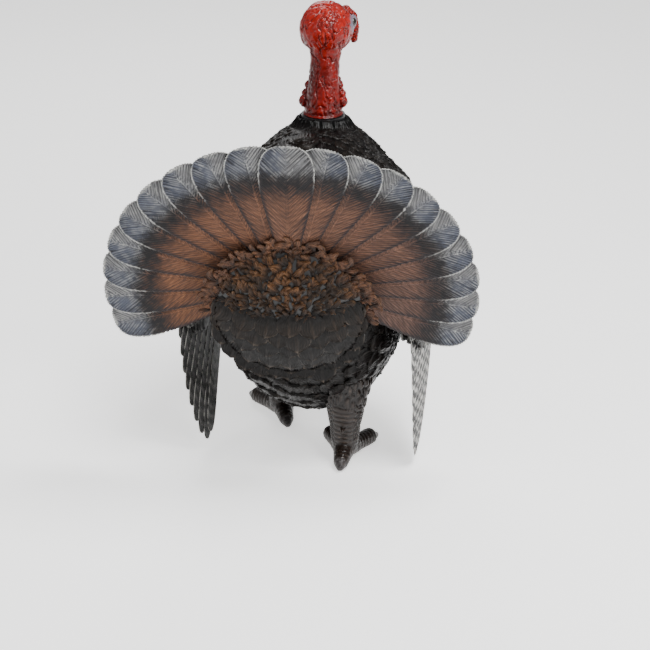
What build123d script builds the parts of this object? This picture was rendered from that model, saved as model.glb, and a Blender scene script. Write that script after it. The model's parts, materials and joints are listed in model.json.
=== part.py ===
"""Strutting tom turkey decoy at three-quarter life size.

Design frame, in millimetres: +Z up, +Y the way the bird faces, +X its right-hand side.
The soles stand on Z = 0 and Y = 0 is near the middle of the body.
Every piece is moved by FRAME_SHIFT on export, which puts the origin under the middle of the bounding box.

The tail folds like a hand fan. Its nineteen feathers sit in layers on one hub bolt: the centre
feather is the rearmost, and each pair outward lies one layer further forward.
"""

import os
from math import cos, radians, sin

from build123d import *

# ---- overall layout ----
FRAME_SHIFT = 23.2            # design frame to row frame, along Y
WALL = 4.0                    # wall of the moulded shells
RUN = 0.05                    # radial clearance of a turning fit
GAP = 0.4                     # air between pieces that only lie near each other

# ---- body: cross sections along Y as (y, lowest z, highest z, half width) ----
BODY_SECTIONS = [
    (-122.0, 222.0, 312.0, 50.0),
    (-100.0, 156.0, 366.0, 90.0),
    (-60.0, 94.0, 414.0, 121.0),
    (-10.0, 58.0, 450.0, 138.0),
    (56.0, 56.0, 466.0, 141.0),
    (118.0, 88.0, 464.0, 130.0),
    (166.0, 158.0, 436.0, 98.0),
    (195.0, 232.0, 388.0, 55.0),
]
BODY_REAR = (-131.0, 268.0)   # y, z of the rump's end
BODY_FRONT = (207.0, 311.0)   # y, z of the breast's foremost point

# ---- neck and head ----
NECK_Y = 105.0
NECK_SOCKET_TOP = 476.0
NECK_SOCKET_BOTTOM = 430.0
NECK_SOCKET_R = 32.0
NECK_PEG_R = 24.0
NECK_SECTIONS = [             # y, z, half width, half depth
    (105.0, 477.0, 31.0, 31.0),
    (107.0, 502.0, 26.5, 27.5),
    (111.0, 529.0, 23.5, 24.0),
    (117.0, 554.0, 23.0, 23.5),
    (123.0, 576.0, 27.0, 27.0),
]
HEAD_CENTRE = (0.0, 134.0, 596.0)
HEAD_ROUND = 38.0             # radius across
HEAD_LONG = 45.0              # radius from beak to nape
HEAD_CORE_R = 18.0
HEAD_TURN = -14.0             # the head looks a little to its right
BEAK_LENGTH = 46.0
EYE_R = 7.0
BEAK_LINE = -6.5              # height of the mouth from the head's centre

# ---- tail fan ----
HUB = (0.0, -166.0, 316.0)    # hub axis where it meets the front layer
FAN_LEAN = 16.0               # degrees back from upright
FAN_YAW = 6.0                 # the fan is set a little to the bird's right
FEATHER_LENGTH = 260.0
FEATHER_HALF_WIDTH = 38.0
FEATHER_THICK = 1.7
FEATHER_PITCH = 2.0           # layer to layer along the hub bolt
FEATHER_STEP = 11.8           # degrees between neighbours when open
FEATHERS_A_SIDE = 9
HUB_BOLT_R = 4.0
EYE_RING_R = 11.0
STACK = 2 * FEATHERS_A_SIDE * FEATHER_PITCH + FEATHER_THICK
TILT_DROP = 46.0              # tilt pin below the hub, along the fan
TILT_AHEAD = 9.0              # tilt pin ahead of the front layer
TILT_PIN_R = 4.0
COVER_DROP = -14.0            # centre of the rear cover below the hub, along the fan

# ---- wings ----
WING_HINGE_X = 137.0
WING_HINGE_Y = 35.0
WING_HINGE_Z = 362.0
WING_PIN_R = 3.0
WING_KNUCKLE_R = 7.0
SHOULDER = (92.0, 40.0, 385.0)
SHOULDER_RADII = (46.0, 74.0, 30.0)
WING_THICK = 10.0
WINGS = {                     # turn in towards the back in degrees, outermost x and its z, curve radius
    "right": (5.0, 180.0, 0.0, 2500.0),
    "left": (-9.0, 163.0, 225.0, 900.0),
}
WING_OUTLINE = [              # y, z, from the top front, over the back edge to the tip
    (108.0, 330.0), (70.0, 362.0), (20.0, 374.0), (-26.0, 362.0), (-64.0, 328.0), (-76.0, 280.0),
    (-80.0, 210.0), (-80.0, 130.0), (-78.0, 70.0), (-72.0, 30.0), (-60.0, 14.0), (-44.0, 22.0),
    (-20.0, 50.0), (24.0, 100.0), (60.0, 150.0), (92.0, 225.0), (112.0, 280.0),
]
WING_SPLIT = [                # y, z, where the coverts give way to the flight feathers
    (150.0, 310.0), (84.0, 242.0), (36.0, 196.0), (-5.0, 184.0), (-45.0, 214.0), (-90.0, 242.0),
]

# ---- legs: ankle x, ankle y, turn about Z ----
LEGS = {"right": (60.0, -50.0, 0.0), "left": (-56.0, 76.0, 20.0)}
ANKLE_Z = 30.0
TARSUS_R = 24.0
TOE_R = 13.0
LEG_SPIGOT_R = 16.0

# ---- stake socket ----
STAKE_R = 6.5
STAKE_Y = 20.0
STAKE_BOTTOM = 54.0
STAKE_DEPTH = 72.0


def body_form(inset):
    """The body's rounded form, drawn in by inset."""
    mid = (BODY_REAR[0] + BODY_FRONT[0]) / 2
    half = (BODY_FRONT[0] - BODY_REAR[0]) / 2
    squeeze = (half - inset) / half
    faces = []
    for y, low, high, half_width in BODY_SECTIONS:
        plane = Plane(
            origin=(0, mid + (y - mid) * squeeze, (low + high) / 2),
            x_dir=(1, 0, 0),
            z_dir=(0, 1, 0),
        )
        faces.append(plane * Ellipse(half_width - inset, (high - low) / 2 - inset))
    rear = Vertex(0, mid + (BODY_REAR[0] - mid) * squeeze, BODY_REAR[1])
    front = Vertex(0, mid + (BODY_FRONT[0] - mid) * squeeze, BODY_FRONT[1])
    return loft([rear, *faces, front])


def rod(start, end, radius):
    """A round bar between two points."""
    a, b = Vector(*start), Vector(*end)
    plane = Plane(origin=a, z_dir=b - a)
    return plane * extrude(Circle(radius), (b - a).length)


def fan_plane():
    """Origin on the hub's front layer, local X to the bird's right, local Y up the fan, local Z back."""
    lean, yaw = radians(FAN_LEAN), radians(FAN_YAW)
    across = (cos(yaw), sin(yaw), 0)
    back = (sin(yaw) * cos(lean), -cos(yaw) * cos(lean), -sin(lean))
    return Plane(origin=HUB, x_dir=across, z_dir=back)


FAN = fan_plane()
BODY = body_form(0)
BODY_INSIDE = body_form(WALL)


# ---------------------------------------------------------------- body
def neck_hole():
    return Pos(0, NECK_Y, 400) * extrude(Circle(NECK_SOCKET_R + GAP / 2), 120)


def seam_bosses():
    """Centre y and z of the screw bosses that hold the two shells together."""
    return [(-60, 405), (40, 460), (165, 420), (180, 250), (110, 98), (-45, 104)]


def body_shells():
    hollow = BODY - BODY_INSIDE
    for y, z in seam_bosses():
        hollow += rod((-80, y, z), (80, y, z), 8.0) & BODY
    collar = Pos(0, NECK_Y, NECK_SOCKET_BOTTOM) * extrude(Circle(NECK_SOCKET_R + 7), 40)
    hollow += collar & BODY
    for side, (x, y, turn) in LEGS.items():
        hollow -= Pos(x, y, 40) * extrude(Circle(LEG_SPIGOT_R + RUN), 160)
    for out in (-1, 1):
        hollow += rump_boss(out, 30, 110, 8.0) & BODY
    hollow -= neck_hole()
    hollow -= Pos(0, STAKE_Y, 0) * extrude(Circle(11 + RUN), 200)
    hollow -= rump_opening()
    for out in (-1, 1):
        hollow -= rump_boss(out, 28, 62, 2.6)
        hollow -= rump_boss(out, 50, 130, 4.6)
    hollow -= rod((0, 150, 318), (0, 240, 318), 9 + RUN)
    for y, z in seam_bosses():
        hollow -= rod((-22, y, z), (40, y, z), 2.2)
        hollow -= rod((-100, y, z), (-21.9, y, z), 4.3)
    for out in (-1, 1):
        for y in wing_screw_places():
            hollow -= wing_screw_hole(out, y)
    left_half = Pos(-250, 0, 300) * Box(500, 800, 900)
    return largest(hollow & left_half), largest(hollow - left_half)


def largest(shape):
    """The biggest solid of a cut, without slivers."""
    return max(shape.solids(), key=lambda solid: solid.volume)


def shell_screws():
    """Six long screws across the seam, each inside its boss."""
    screws = []
    for y, z in seam_bosses():
        shank = rod((-22, y, z), (22, y, z), 2.15)
        head = rod((-25, y, z), (-22, y, z), 4.0)
        screws.append(shank + head)
    return Compound(screws)


def stake_socket():
    """Blind tube in the belly for a round ground stake."""
    tube = Pos(0, STAKE_Y, STAKE_BOTTOM) * extrude(Circle(11), STAKE_DEPTH + 6)
    collar = Pos(0, STAKE_Y, STAKE_BOTTOM) * extrude(Circle(19), 20)
    tube += collar - BODY
    bore = Pos(0, STAKE_Y, STAKE_BOTTOM) * extrude(Circle(STAKE_R), STAKE_DEPTH)
    return largest(tube - bore)


def neck_socket():
    """Bush in the shoulders that the neck turns in."""
    height = NECK_SOCKET_TOP - NECK_SOCKET_BOTTOM
    bush = Pos(0, NECK_Y, NECK_SOCKET_BOTTOM) * extrude(Circle(NECK_SOCKET_R), height)
    return bush - Pos(0, NECK_Y, NECK_SOCKET_BOTTOM) * extrude(Circle(NECK_PEG_R + RUN), height)


def beard_ferrule():
    """Cup in the breast that grips the beard."""
    cup = rod((0, 180, 318), (0, 212, 318), 9)
    return cup - rod((0, 190, 318), (0, 212, 318), 6)


def beard():
    """Tuft of bristles hanging from the breast, as one tapering bundle."""
    root = rod((0, 190, 318), (0, 219, 318), 5.9)
    knee = Pos(0, 219, 318) * Sphere(5.9)
    hang = loft([
        Plane(origin=(0, 219, 318), z_dir=(0, 0, -1)) * Circle(5.9),
        Plane(origin=(0, 221, 250), z_dir=(0, 0, -1)) * Ellipse(8.5, 6.0),
        Plane(origin=(0, 220, 190), z_dir=(0, 0, -1)) * Ellipse(7.0, 4.5),
        Plane(origin=(0, 218, 165), z_dir=(0, 0, -1)) * Ellipse(3.0, 2.0),
    ])
    return root + knee + hang


# ---------------------------------------------------------------- legs
def toe(root, tip, root_r, tip_r):
    """A knobbly toe: two balls joined by a taper."""
    a, b = Vector(*root), Vector(*tip)
    along = (b - a).normalized()
    taper = loft([
        Plane(origin=a, z_dir=along) * Circle(root_r),
        Plane(origin=b, z_dir=along) * Circle(tip_r),
    ])
    return taper + Pos(*root) * Sphere(root_r) + Pos(*tip) * Sphere(tip_r)


def leg(side):
    """Thigh, tarsus and foot in one moulding, with a spigot that passes into the body."""
    x, y, turn = LEGS[side]
    column = loft([
        Pos(0, 14, 150) * Ellipse(44, 50),
        Pos(0, 10, 112) * Ellipse(38, 42),
        Pos(0, 4, 82) * Ellipse(30, 31),
        Pos(0, 0, 56) * Ellipse(TARSUS_R, TARSUS_R),
        Pos(0, 0, ANKLE_Z - 12) * Ellipse(TARSUS_R - 3, TARSUS_R - 3),
    ])
    foot = toe((0, 0, 14), (0, 62, 9), 17, 12) + toe((0, 62, 9), (0, 84, 5), 11, 6)
    for out in (-1, 1):
        foot += toe((out * 4, 2, 14), (out * 28, 50, 10), 16, 13)
        foot += toe((out * 28, 50, 10), (out * 35, 68, 5), 11, 6)
    foot += toe((0, -4, 16), (0, -36, 11), 18, 13)
    foot += toe((0, -36, 11), (0, -49, 5), 11, 6)
    foot -= Pos(0, 0, -50) * Box(300, 300, 100)
    whole = Rot(0, 0, turn) * (column + foot)
    whole = Pos(x, y, 0) * whole - BODY
    whole = largest(whole)
    spigot = Pos(x, y, 90) * extrude(Circle(LEG_SPIGOT_R), 90)
    return whole + spigot


def leg_retainers():
    """Rings that hold each spigot inside the body."""
    rings = []
    for x, y, turn in LEGS.values():
        ring = Pos(x, y, 162) * (extrude(Circle(24), 8) - extrude(Circle(LEG_SPIGOT_R), 8))
        rings.append(ring)
    return Compound(rings)


# ---------------------------------------------------------------- neck and head
def neck_skin(inset):
    faces = []
    for y, z, wide, deep in NECK_SECTIONS:
        faces.append(Pos(0, y, z) * Ellipse(wide - inset, deep - inset))
    return loft(faces)


def egg(round_r, long_r):
    """Egg with its long axis on Y, with a small flat at each end."""
    faces = []
    for share in (-0.985, -0.9, -0.7, -0.4, 0.0, 0.4, 0.7, 0.9, 0.985):
        plane = Plane(origin=(0, share * long_r, 0), x_dir=(1, 0, 0), z_dir=(0, 1, 0))
        faces.append(plane * Circle(round_r * (1 - share**2) ** 0.5))
    return loft(faces)


def head_solid():
    """Skull that looks along HEAD_TURN."""
    return Pos(*HEAD_CENTRE) * Rot(0, 0, HEAD_TURN) * egg(HEAD_ROUND, HEAD_LONG)


HEAD = head_solid()
NECK = neck_skin(0)


def head_place(x, y, z):
    """A point in the head's own turned frame, from its centre."""
    turn = radians(HEAD_TURN)
    return (
        HEAD_CENTRE[0] + x * cos(turn) - y * sin(turn),
        HEAD_CENTRE[1] + x * sin(turn) + y * cos(turn),
        HEAD_CENTRE[2] + z,
    )


def eye_sockets():
    """Round holes through the sides of the head."""
    return [rod(head_place(out * 22, 20, 8), head_place(out * 46, 20, 8), EYE_R) for out in (-1, 1)]


def eyes():
    """Both eyes: a plug that fills the socket, with a ball at its end."""
    plugs = []
    for out in (-1, 1):
        plug = rod(head_place(out * 22, 20, 8), head_place(out * 31, 20, 8), EYE_R)
        plugs.append(plug + Pos(*head_place(out * 31, 20, 8)) * Sphere(EYE_R))
    return Compound(plugs)


def neck():
    """Hollow neck with a solid floor for the bolt."""
    tube = NECK - neck_skin(WALL)
    floor = NECK & (Pos(0, NECK_Y, NECK_SECTIONS[0][1]) * extrude(Circle(60), 6))
    bolt_hole = Pos(0, NECK_Y, 470) * extrude(Circle(3.05), 40)
    return largest(tube + floor - HEAD - bolt_hole)


def neck_peg():
    """Turned plug under the neck, a running fit in the neck socket."""
    height = NECK_SECTIONS[0][1] - NECK_SOCKET_BOTTOM
    peg = Pos(0, NECK_Y, NECK_SOCKET_BOTTOM) * extrude(Circle(NECK_PEG_R), height)
    return peg - Pos(0, NECK_Y, NECK_SOCKET_BOTTOM) * extrude(Circle(3.05), height)


def neck_retainer():
    """Washer under the socket that keeps the peg in."""
    ring = Pos(0, NECK_Y, NECK_SOCKET_BOTTOM - GAP - 4) * extrude(Circle(29), 4)
    up = Pos(0, NECK_Y, NECK_SOCKET_BOTTOM - GAP) * extrude(Circle(20), GAP)
    return ring + up - Pos(0, NECK_Y, 400) * extrude(Circle(3.05), 60)


def neck_bolt():
    """Bolt from the washer up into the neck's floor."""
    low = NECK_SOCKET_BOTTOM - GAP - 4
    shank = Pos(0, NECK_Y, low - 5) * extrude(Circle(3), NECK_SECTIONS[0][1] + 6 - low + 5)
    head = Pos(0, NECK_Y, low - 5) * extrude(RegularPolygon(6.5, 6), 5)
    return shank + head


def head_shell():
    """Head, cored out from below."""
    core = Pos(0, NECK_SECTIONS[-1][0], 530) * extrude(Circle(HEAD_CORE_R), 80)
    shell = HEAD - core
    for socket in eye_sockets():
        shell -= socket
    return largest(shell)


def beak(upper):
    """One half of the beak, a curved horn cone closed on the head's surface."""
    side = 1 if upper else -1
    drop = -3 if upper else -9
    start, tip = 34.0, 34.0 + BEAK_LENGTH * (1.0 if upper else 0.84)
    sections = []
    for share, wide, tall, bend in ((0, 14, 10, 0), (0.4, 12, 8.5, 0), (0.75, 7.5, 5.5, -3), (1, 2, 1.6, -9)):
        middle = (0, start + (tip - start) * share, drop + bend)
        plane = Plane(origin=middle, x_dir=(1, 0, 0), z_dir=(0, 1, 0))
        sections.append(plane * Ellipse(wide, tall))
    cone = loft(sections)
    cut = Pos(0, 60, BEAK_LINE - side * (50 - 0.2)) * Box(80, 120, 100)
    half = Pos(*HEAD_CENTRE) * Rot(0, 0, HEAD_TURN) * (cone - cut)
    return largest(half - HEAD)


def snood():
    """Fleshy finger that drapes over the root of the beak and hangs beside it."""
    points = [(2, 40, 16), (8, 53, 17), (17, 60, 6), (20, 60, -12), (19, 58, -30)]
    radii = [7.0, 6.0, 6.0, 6.5, 5.5]
    form = None
    for i in range(len(points) - 1):
        piece = toe(points[i], points[i + 1], radii[i], radii[i + 1])
        form = piece if form is None else form + piece
    placed = Pos(*HEAD_CENTRE) * Rot(0, 0, HEAD_TURN) * form
    return largest(placed - HEAD - beak(True) - beak(False))


def dewlap():
    """Loose skin under the chin, down the front of the neck."""
    form = scale(Sphere(1), by=(8, 15, 32))
    placed = Pos(*HEAD_CENTRE) * Rot(0, 0, HEAD_TURN) * Pos(0, 24, -44) * form
    return largest(placed - HEAD - NECK)


def caruncles():
    """Fleshy ruff round the front of the neck's base, thickest in the middle."""
    ring = Pos(0, NECK_Y + 3, 0) * (Pos(0, 0, 500) * Torus(24.5, 11.5))
    upper = Pos(0, NECK_Y + 5, 0) * (Pos(0, 0, 518) * Torus(21.0, 8.5))
    front = Pos(0, NECK_Y + 50, 504) * Box(120, 84, 54)
    ruff = (ring + upper) & front
    floor = NECK_SECTIONS[0][1]
    ruff -= Pos(0, NECK_Y, floor - 60) * Box(200, 200, 120)
    return largest(ruff - NECK)


# ---------------------------------------------------------------- tail
def feather_outline():
    """Blade pointing up local Y: a stem that widens to a broad rounded end."""
    w, length = FEATHER_HALF_WIDTH, FEATHER_LENGTH
    shoulder = length - 48
    right = [(5.5, 8), (8, 40), (20, 110), (33, 170), (w, shoulder)]
    edge = Spline(*right, tangents=[(0.0, 1.0), (0.0, 1.0)])
    crown = Spline(
        (w, shoulder), (w * 0.68, length - 12), (0, length), (-w * 0.68, length - 12), (-w, shoulder),
        tangents=[(0.0, 1.0), (0.0, -1.0)],
    )
    other = Spline(*[(-x, y) for x, y in reversed(right)], tangents=[(0.0, -1.0), (0.0, -1.0)])
    foot = Line((-5.5, 8), (5.5, 8))
    return make_face([edge, crown, other, foot])


FEATHER_BLANK = extrude(feather_outline() + Circle(EYE_RING_R) - Circle(HUB_BOLT_R + RUN), FEATHER_THICK)


def feather_layer(index):
    """How many layers behind the front one a feather lies; the left side has index above 0."""
    if index == 0:
        return 2 * FEATHERS_A_SIDE
    return 2 * (FEATHERS_A_SIDE - abs(index)) + (1 if index < 0 else 0)


def tail_feather(index):
    spot = Pos(0, 0, feather_layer(index) * FEATHER_PITCH) * Rot(0, 0, index * FEATHER_STEP)
    return FAN * spot * FEATHER_BLANK


def tail_bracket():
    """Plate in front of the feathers, with a tongue down to the tilt pin and a stem through to the covers."""
    plate = Pos(0, 0, -5 - GAP) * extrude(Circle(24), 5)
    tongue = Pos(0, -TILT_DROP / 2, -5 - GAP) * extrude(Rectangle(20, TILT_DROP), 5)
    knuckle = Pos(-10, -TILT_DROP, -TILT_AHEAD) * Rot(0, 90, 0) * extrude(Circle(9), 20)
    pin_hole = Pos(-10, -TILT_DROP, -TILT_AHEAD) * Rot(0, 90, 0) * extrude(Circle(TILT_PIN_R + RUN), 20)
    bolt_hole = Pos(0, 0, -20) * extrude(Circle(HUB_BOLT_R), 40)
    return FAN * (plate + tongue + knuckle - pin_hole - bolt_hole)


def hub_bolt():
    shank = Pos(0, 0, -12) * extrude(Circle(HUB_BOLT_R), STACK + 12 + GAP)
    head = Pos(0, 0, STACK + GAP) * extrude(Circle(11), 5)
    return FAN * (shank + head)


def hub_nut():
    nut = Pos(0, 0, -10) * extrude(RegularPolygon(8, 6) - Circle(HUB_BOLT_R), 10 - 5 - GAP)
    return FAN * nut


def dome(radius, rise, wall):
    """Hollow cap of a sphere on the plane Z = 0, open underneath."""
    ball = (radius**2 + rise**2) / (2 * rise)
    shell = Rot(90, 0, 0) * (Sphere(ball) - Sphere(ball - wall))
    above = Pos(0, 0, rise) * Box(3 * radius, 3 * radius, 2 * rise)
    return (Pos(0, 0, rise - ball) * shell) & above


def tail_cover_rear():
    """Domed panel of under-tail coverts that hides the hub from behind."""
    whole = Pos(0, COVER_DROP, 0) * dome(100, 29, 5)
    whole += extrude(Circle(14), 25)
    whole -= extrude(Circle(11), 5)
    return FAN * Pos(0, 0, STACK + GAP) * whole


def tail_cover_front():
    """Smaller half panel of upper-tail coverts on the bird's side of the fan."""
    panel = Pos(0, 8, 0) * Rot(0, 180, 0) * dome(66, 14, 5)
    panel &= Pos(0, 62, -10) * Box(400, 100, 100)
    panel -= Pos(0, 0, -40) * extrude(Circle(24.5), 60)
    return FAN * Pos(0, 0, -GAP) * largest(panel)


def across_tilt(x_from, x_to, radius):
    """A round bar on the tilt pin's axis."""
    return FAN * Pos(x_from, -TILT_DROP, -TILT_AHEAD) * Rot(0, 90, 0) * extrude(Circle(radius), x_to - x_from)


def rump_block(extra):
    """Block that carries the tilt pin, drawn larger by extra for the cut in the shells."""
    block = Pos(0, -TILT_DROP - 6, -48) * Box(60 + 2 * extra, 30 + 2 * extra, 52 + 2 * extra)
    return FAN * block


def rump_opening():
    """What the shells leave free for the clevis, its pin and the swing of the tail bracket."""
    mouth = FAN * Pos(0, -TILT_DROP + 18, -2) * Box(60, 66, 42)
    return rump_block(GAP / 2) + across_tilt(-30, 30, 16) + mouth


def rump_bracket():
    """Clevis at the rump: a block let into the body with two ears for the tilt pin."""
    block = rump_block(0)
    for out in (-1, 1):
        middle = out * 14.5
        block += across_tilt(middle - 4, middle + 4, 10)
        block += FAN * Pos(middle, -TILT_DROP, -TILT_AHEAD - 8) * Box(8, 20, 16)
        block -= rump_boss(out, 12, 40, 2.5)
    block -= across_tilt(-10 - GAP, 10 + GAP, 13)
    return largest(block - across_tilt(-40, 40, TILT_PIN_R))


def rump_boss(out, x_from, x_to, radius):
    """A round bar outward from the clevis block's side; out is -1 for left and 1 for right."""
    place = Pos(out * x_from, -TILT_DROP - 6, -52) * Rot(0, 90 * out, 0)
    return FAN * place * extrude(Circle(radius), x_to - x_from)


def rump_bracket_screws():
    """Two screws from the flanks into the clevis block."""
    screws = []
    for out in (-1, 1):
        screws.append(rump_boss(out, 12, 50, 2.5) + rump_boss(out, 50, 53, 4.4))
    return Compound(screws)


def tilt_pin():
    """Clevis pin with a head on the left."""
    return across_tilt(-22, 27, TILT_PIN_R) + across_tilt(-22, -18.5, 7)


def tilt_knob():
    """Thumb knob on the right end of the tilt pin."""
    return across_tilt(18.5, 26.5, 9) - across_tilt(18.5, 26.5, TILT_PIN_R)


# ---------------------------------------------------------------- wings
def wing_screw_places():
    return (WING_HINGE_Y - 12, WING_HINGE_Y + 12)


def wing_screw_hole(out, y):
    return rod((out * 90, y, WING_HINGE_Z - 14), (out * 140, y, WING_HINGE_Z - 14), 2.2)


def wing_hinge_screws():
    """Two screws through the foot of each shoulder hinge."""
    screws = []
    face = WING_HINGE_X - 7.5
    for out in (-1, 1):
        for y in wing_screw_places():
            shank = rod((out * 104, y, WING_HINGE_Z - 14), (out * face, y, WING_HINGE_Z - 14), 2.15)
            head = rod((out * face, y, WING_HINGE_Z - 14), (out * (face + 2.5), y, WING_HINGE_Z - 14), 4.2)
            screws.append(shank + head)
    return Compound(screws)


def wing_slab(side):
    """A wing as one curved plate, drawn on the bird's right."""
    turn, bulge_x, bulge_z, curve = WINGS[side]
    outline = make_face(Plane.YZ * Spline(*WING_OUTLINE, periodic=True))
    slab = extrude(outline, 200, dir=(1, 0, 0))
    start, end = (-curve, -340, 0), (-curve, 360, 0)
    plate = rod(start, end, curve) - rod(start, end, curve - WING_THICK)
    place = Pos(bulge_x, WING_HINGE_Y, bulge_z) * Rot(0, 0, -turn)
    return slab & (place * plate)


def wing_parts(side):
    """Moulded coverts with the hinge's knuckle, and the panel of flight feathers."""
    slab = wing_slab(side)
    low_corners = [(-200.0, -50.0), (200.0, -50.0), (200.0, WING_SPLIT[0][1])]
    border = Plane.YZ * Polyline(*low_corners, *WING_SPLIT, (-200.0, WING_SPLIT[-1][1]), (-200.0, -50.0))
    low = extrude(make_face(border), 300, dir=(1, 0, 0))
    coverts, flights = largest(slab - low), largest(slab & low)
    coverts += hinge_rod(-19, 19, WING_KNUCKLE_R)
    coverts += Pos(WING_HINGE_X + 6, WING_HINGE_Y, WING_HINGE_Z - 6) * Box(12, 38, 12)
    coverts -= hinge_rod(-60, 60, WING_PIN_R + RUN)
    for out in (-1, 1):
        coverts -= hinge_rod(*sorted((out * 20, out * 40)), 6)
        coverts -= hinge_rod(*sorted((out * (19.5 - GAP), out * (32 + GAP))), 11)
    return largest(coverts), flights


def hinge_rod(y_from, y_to, radius):
    """A round bar on the wing hinge's axis."""
    start = (WING_HINGE_X, WING_HINGE_Y + y_from, WING_HINGE_Z)
    return rod(start, (WING_HINGE_X, WING_HINGE_Y + y_to, WING_HINGE_Z), radius)


def wing_hinge():
    """Right shoulder hinge: a foot on the body's side and two ears."""
    hinge = Pos(WING_HINGE_X - 17.5, WING_HINGE_Y, WING_HINGE_Z - 5) * Box(20, 70, 30)
    hinge -= hinge_rod(-19.5, 19.5, WING_KNUCKLE_R + 1)
    for low_y, high_y in ((-32, -19.5), (19.5, 32)):
        hinge += hinge_rod(low_y, high_y, WING_KNUCKLE_R)
        arm_y = WING_HINGE_Y + (low_y + high_y) / 2
        hinge += Pos(WING_HINGE_X - 8, arm_y, WING_HINGE_Z) * Box(16, high_y - low_y, 12)
    hinge -= hinge_rod(-60, 60, WING_PIN_R)
    for y in wing_screw_places():
        hinge -= wing_screw_hole(1, y)
    return largest(hinge - BODY)


def wing_pin():
    return hinge_rod(-34, 34, WING_PIN_R) + hinge_rod(32, 35, 5)


def shoulder_cover():
    """Right scapular cover, an overhanging cap above the wing hinge."""
    cap = Pos(*SHOULDER) * scale(Sphere(1), by=SHOULDER_RADII)
    cap &= Pos(SHOULDER[0], SHOULDER[1], WING_HINGE_Z + 18 + 50) * Box(200, 300, 100)
    return largest(cap - BODY)


def save(name, shape):
    export_step(Pos(0, FRAME_SHIFT, 0) * shape, f"parts/{name}.step")


def build():
    os.makedirs("parts", exist_ok=True)
    left_shell, right_shell = body_shells()
    save("body_shell_left", left_shell)
    save("body_shell_right", right_shell)
    save("shell_screws", shell_screws())
    save("stake_socket", stake_socket())
    save("neck_socket", neck_socket())
    save("beard_ferrule", beard_ferrule())
    save("beard", beard())
    for side in LEGS:
        save(f"leg_{side}", leg(side))
    save("leg_retainers", leg_retainers())

    save("neck", neck())
    save("neck_peg", neck_peg())
    save("neck_retainer", neck_retainer())
    save("neck_bolt", neck_bolt())
    save("head_shell", head_shell())
    save("upper_beak", beak(True))
    save("lower_beak", beak(False))
    save("snood", snood())
    save("eyes", eyes())
    save("dewlap", dewlap())
    save("caruncles", caruncles())

    save("rump_bracket", rump_bracket())
    save("rump_bracket_screws", rump_bracket_screws())
    save("tilt_pin", tilt_pin())
    save("tilt_knob", tilt_knob())
    save("tail_bracket", tail_bracket())
    save("hub_bolt", hub_bolt())
    save("hub_nut", hub_nut())
    save("tail_cover_rear", tail_cover_rear())
    save("tail_cover_front", tail_cover_front())
    save("tail_feather_centre", tail_feather(0))
    for number in range(1, FEATHERS_A_SIDE + 1):
        save(f"tail_feather_left_{number}", tail_feather(number))
        save(f"tail_feather_right_{number}", tail_feather(-number))

    for name, shape in (("wing_hinge", wing_hinge()), ("shoulder_cover", shoulder_cover())):
        save(f"{name}_right", shape)
        save(f"{name}_left", mirror(shape, Plane.YZ))
    coverts, flights = wing_parts("right")
    save("wing_coverts_right", coverts)
    save("wing_flights_right", flights)
    coverts, flights = wing_parts("left")
    save("wing_coverts_left", mirror(coverts, Plane.YZ))
    save("wing_flights_left", mirror(flights, Plane.YZ))
    pin = wing_pin()
    save("wing_hinge_pins", Compound([pin, mirror(pin, Plane.YZ)]))
    save("wing_hinge_screws", wing_hinge_screws())


if __name__ == "__main__":
    build()
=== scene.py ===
import json
import math

import bmesh
import bpy
import numpy as np
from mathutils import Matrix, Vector
from mathutils.bvhtree import BVHTree


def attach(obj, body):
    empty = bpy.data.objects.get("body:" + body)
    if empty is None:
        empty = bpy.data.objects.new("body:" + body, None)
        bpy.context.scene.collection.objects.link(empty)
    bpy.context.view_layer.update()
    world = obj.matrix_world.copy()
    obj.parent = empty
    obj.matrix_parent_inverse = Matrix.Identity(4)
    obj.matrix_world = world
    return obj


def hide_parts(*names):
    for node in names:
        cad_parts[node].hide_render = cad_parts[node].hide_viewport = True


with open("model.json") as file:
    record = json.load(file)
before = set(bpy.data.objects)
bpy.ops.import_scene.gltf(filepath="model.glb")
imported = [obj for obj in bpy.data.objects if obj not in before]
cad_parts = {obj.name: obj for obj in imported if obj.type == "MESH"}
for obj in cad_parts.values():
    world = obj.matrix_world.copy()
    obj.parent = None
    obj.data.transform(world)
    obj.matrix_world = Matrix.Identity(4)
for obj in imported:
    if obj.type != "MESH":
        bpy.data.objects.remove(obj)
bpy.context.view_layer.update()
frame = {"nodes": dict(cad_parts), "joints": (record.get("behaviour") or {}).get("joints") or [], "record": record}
JOINTS = {j["name"]: j for j in frame["joints"]}
MM = 0.001
SHIFT = 23.2  # millimetres forward from the plan of the body to the row frame

# ------------------------------------------------------------------ numbers and noise


def smooth(a, b, x):
    """0 below a, 1 above b, smooth between."""
    t = np.clip((x - a) / (b - a), 0.0, 1.0)
    return t * t * (3 - 2 * t)


def unit(v):
    return v / np.maximum(np.linalg.norm(v, axis=-1, keepdims=True), 1e-12)


def mix(a, b, t):
    """Blend of two values or colours by an array t."""
    t = np.asarray(t)[..., None]
    return np.asarray(a) * (1 - t) + np.asarray(b) * t


def hashed(cell, seed):
    """A fixed number from 0 to 1 for each integer cell."""
    c = cell.astype(np.int64)
    n = c[..., 0] * 374761393 + c[..., 1] * 668265263 + c[..., 2] * 1440662683 + seed * 974634777
    n &= 0xFFFFFFFF
    n = ((n ^ (n >> 13)) * 1274126177) & 0xFFFFFFFF
    return ((n ^ (n >> 16)) & 0xFFFFFF) / float(0xFFFFFF)


def value_noise(p, seed=0):
    base = np.floor(p)
    f = p - base
    f = f * f * (3 - 2 * f)
    total = 0.0
    for dx in (0, 1):
        for dy in (0, 1):
            for dz in (0, 1):
                w = 1.0
                for axis, d in enumerate((dx, dy, dz)):
                    w = w * (f[..., axis] if d else 1 - f[..., axis])
                total = total + w * hashed(base + (dx, dy, dz), seed)
    return total


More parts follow.
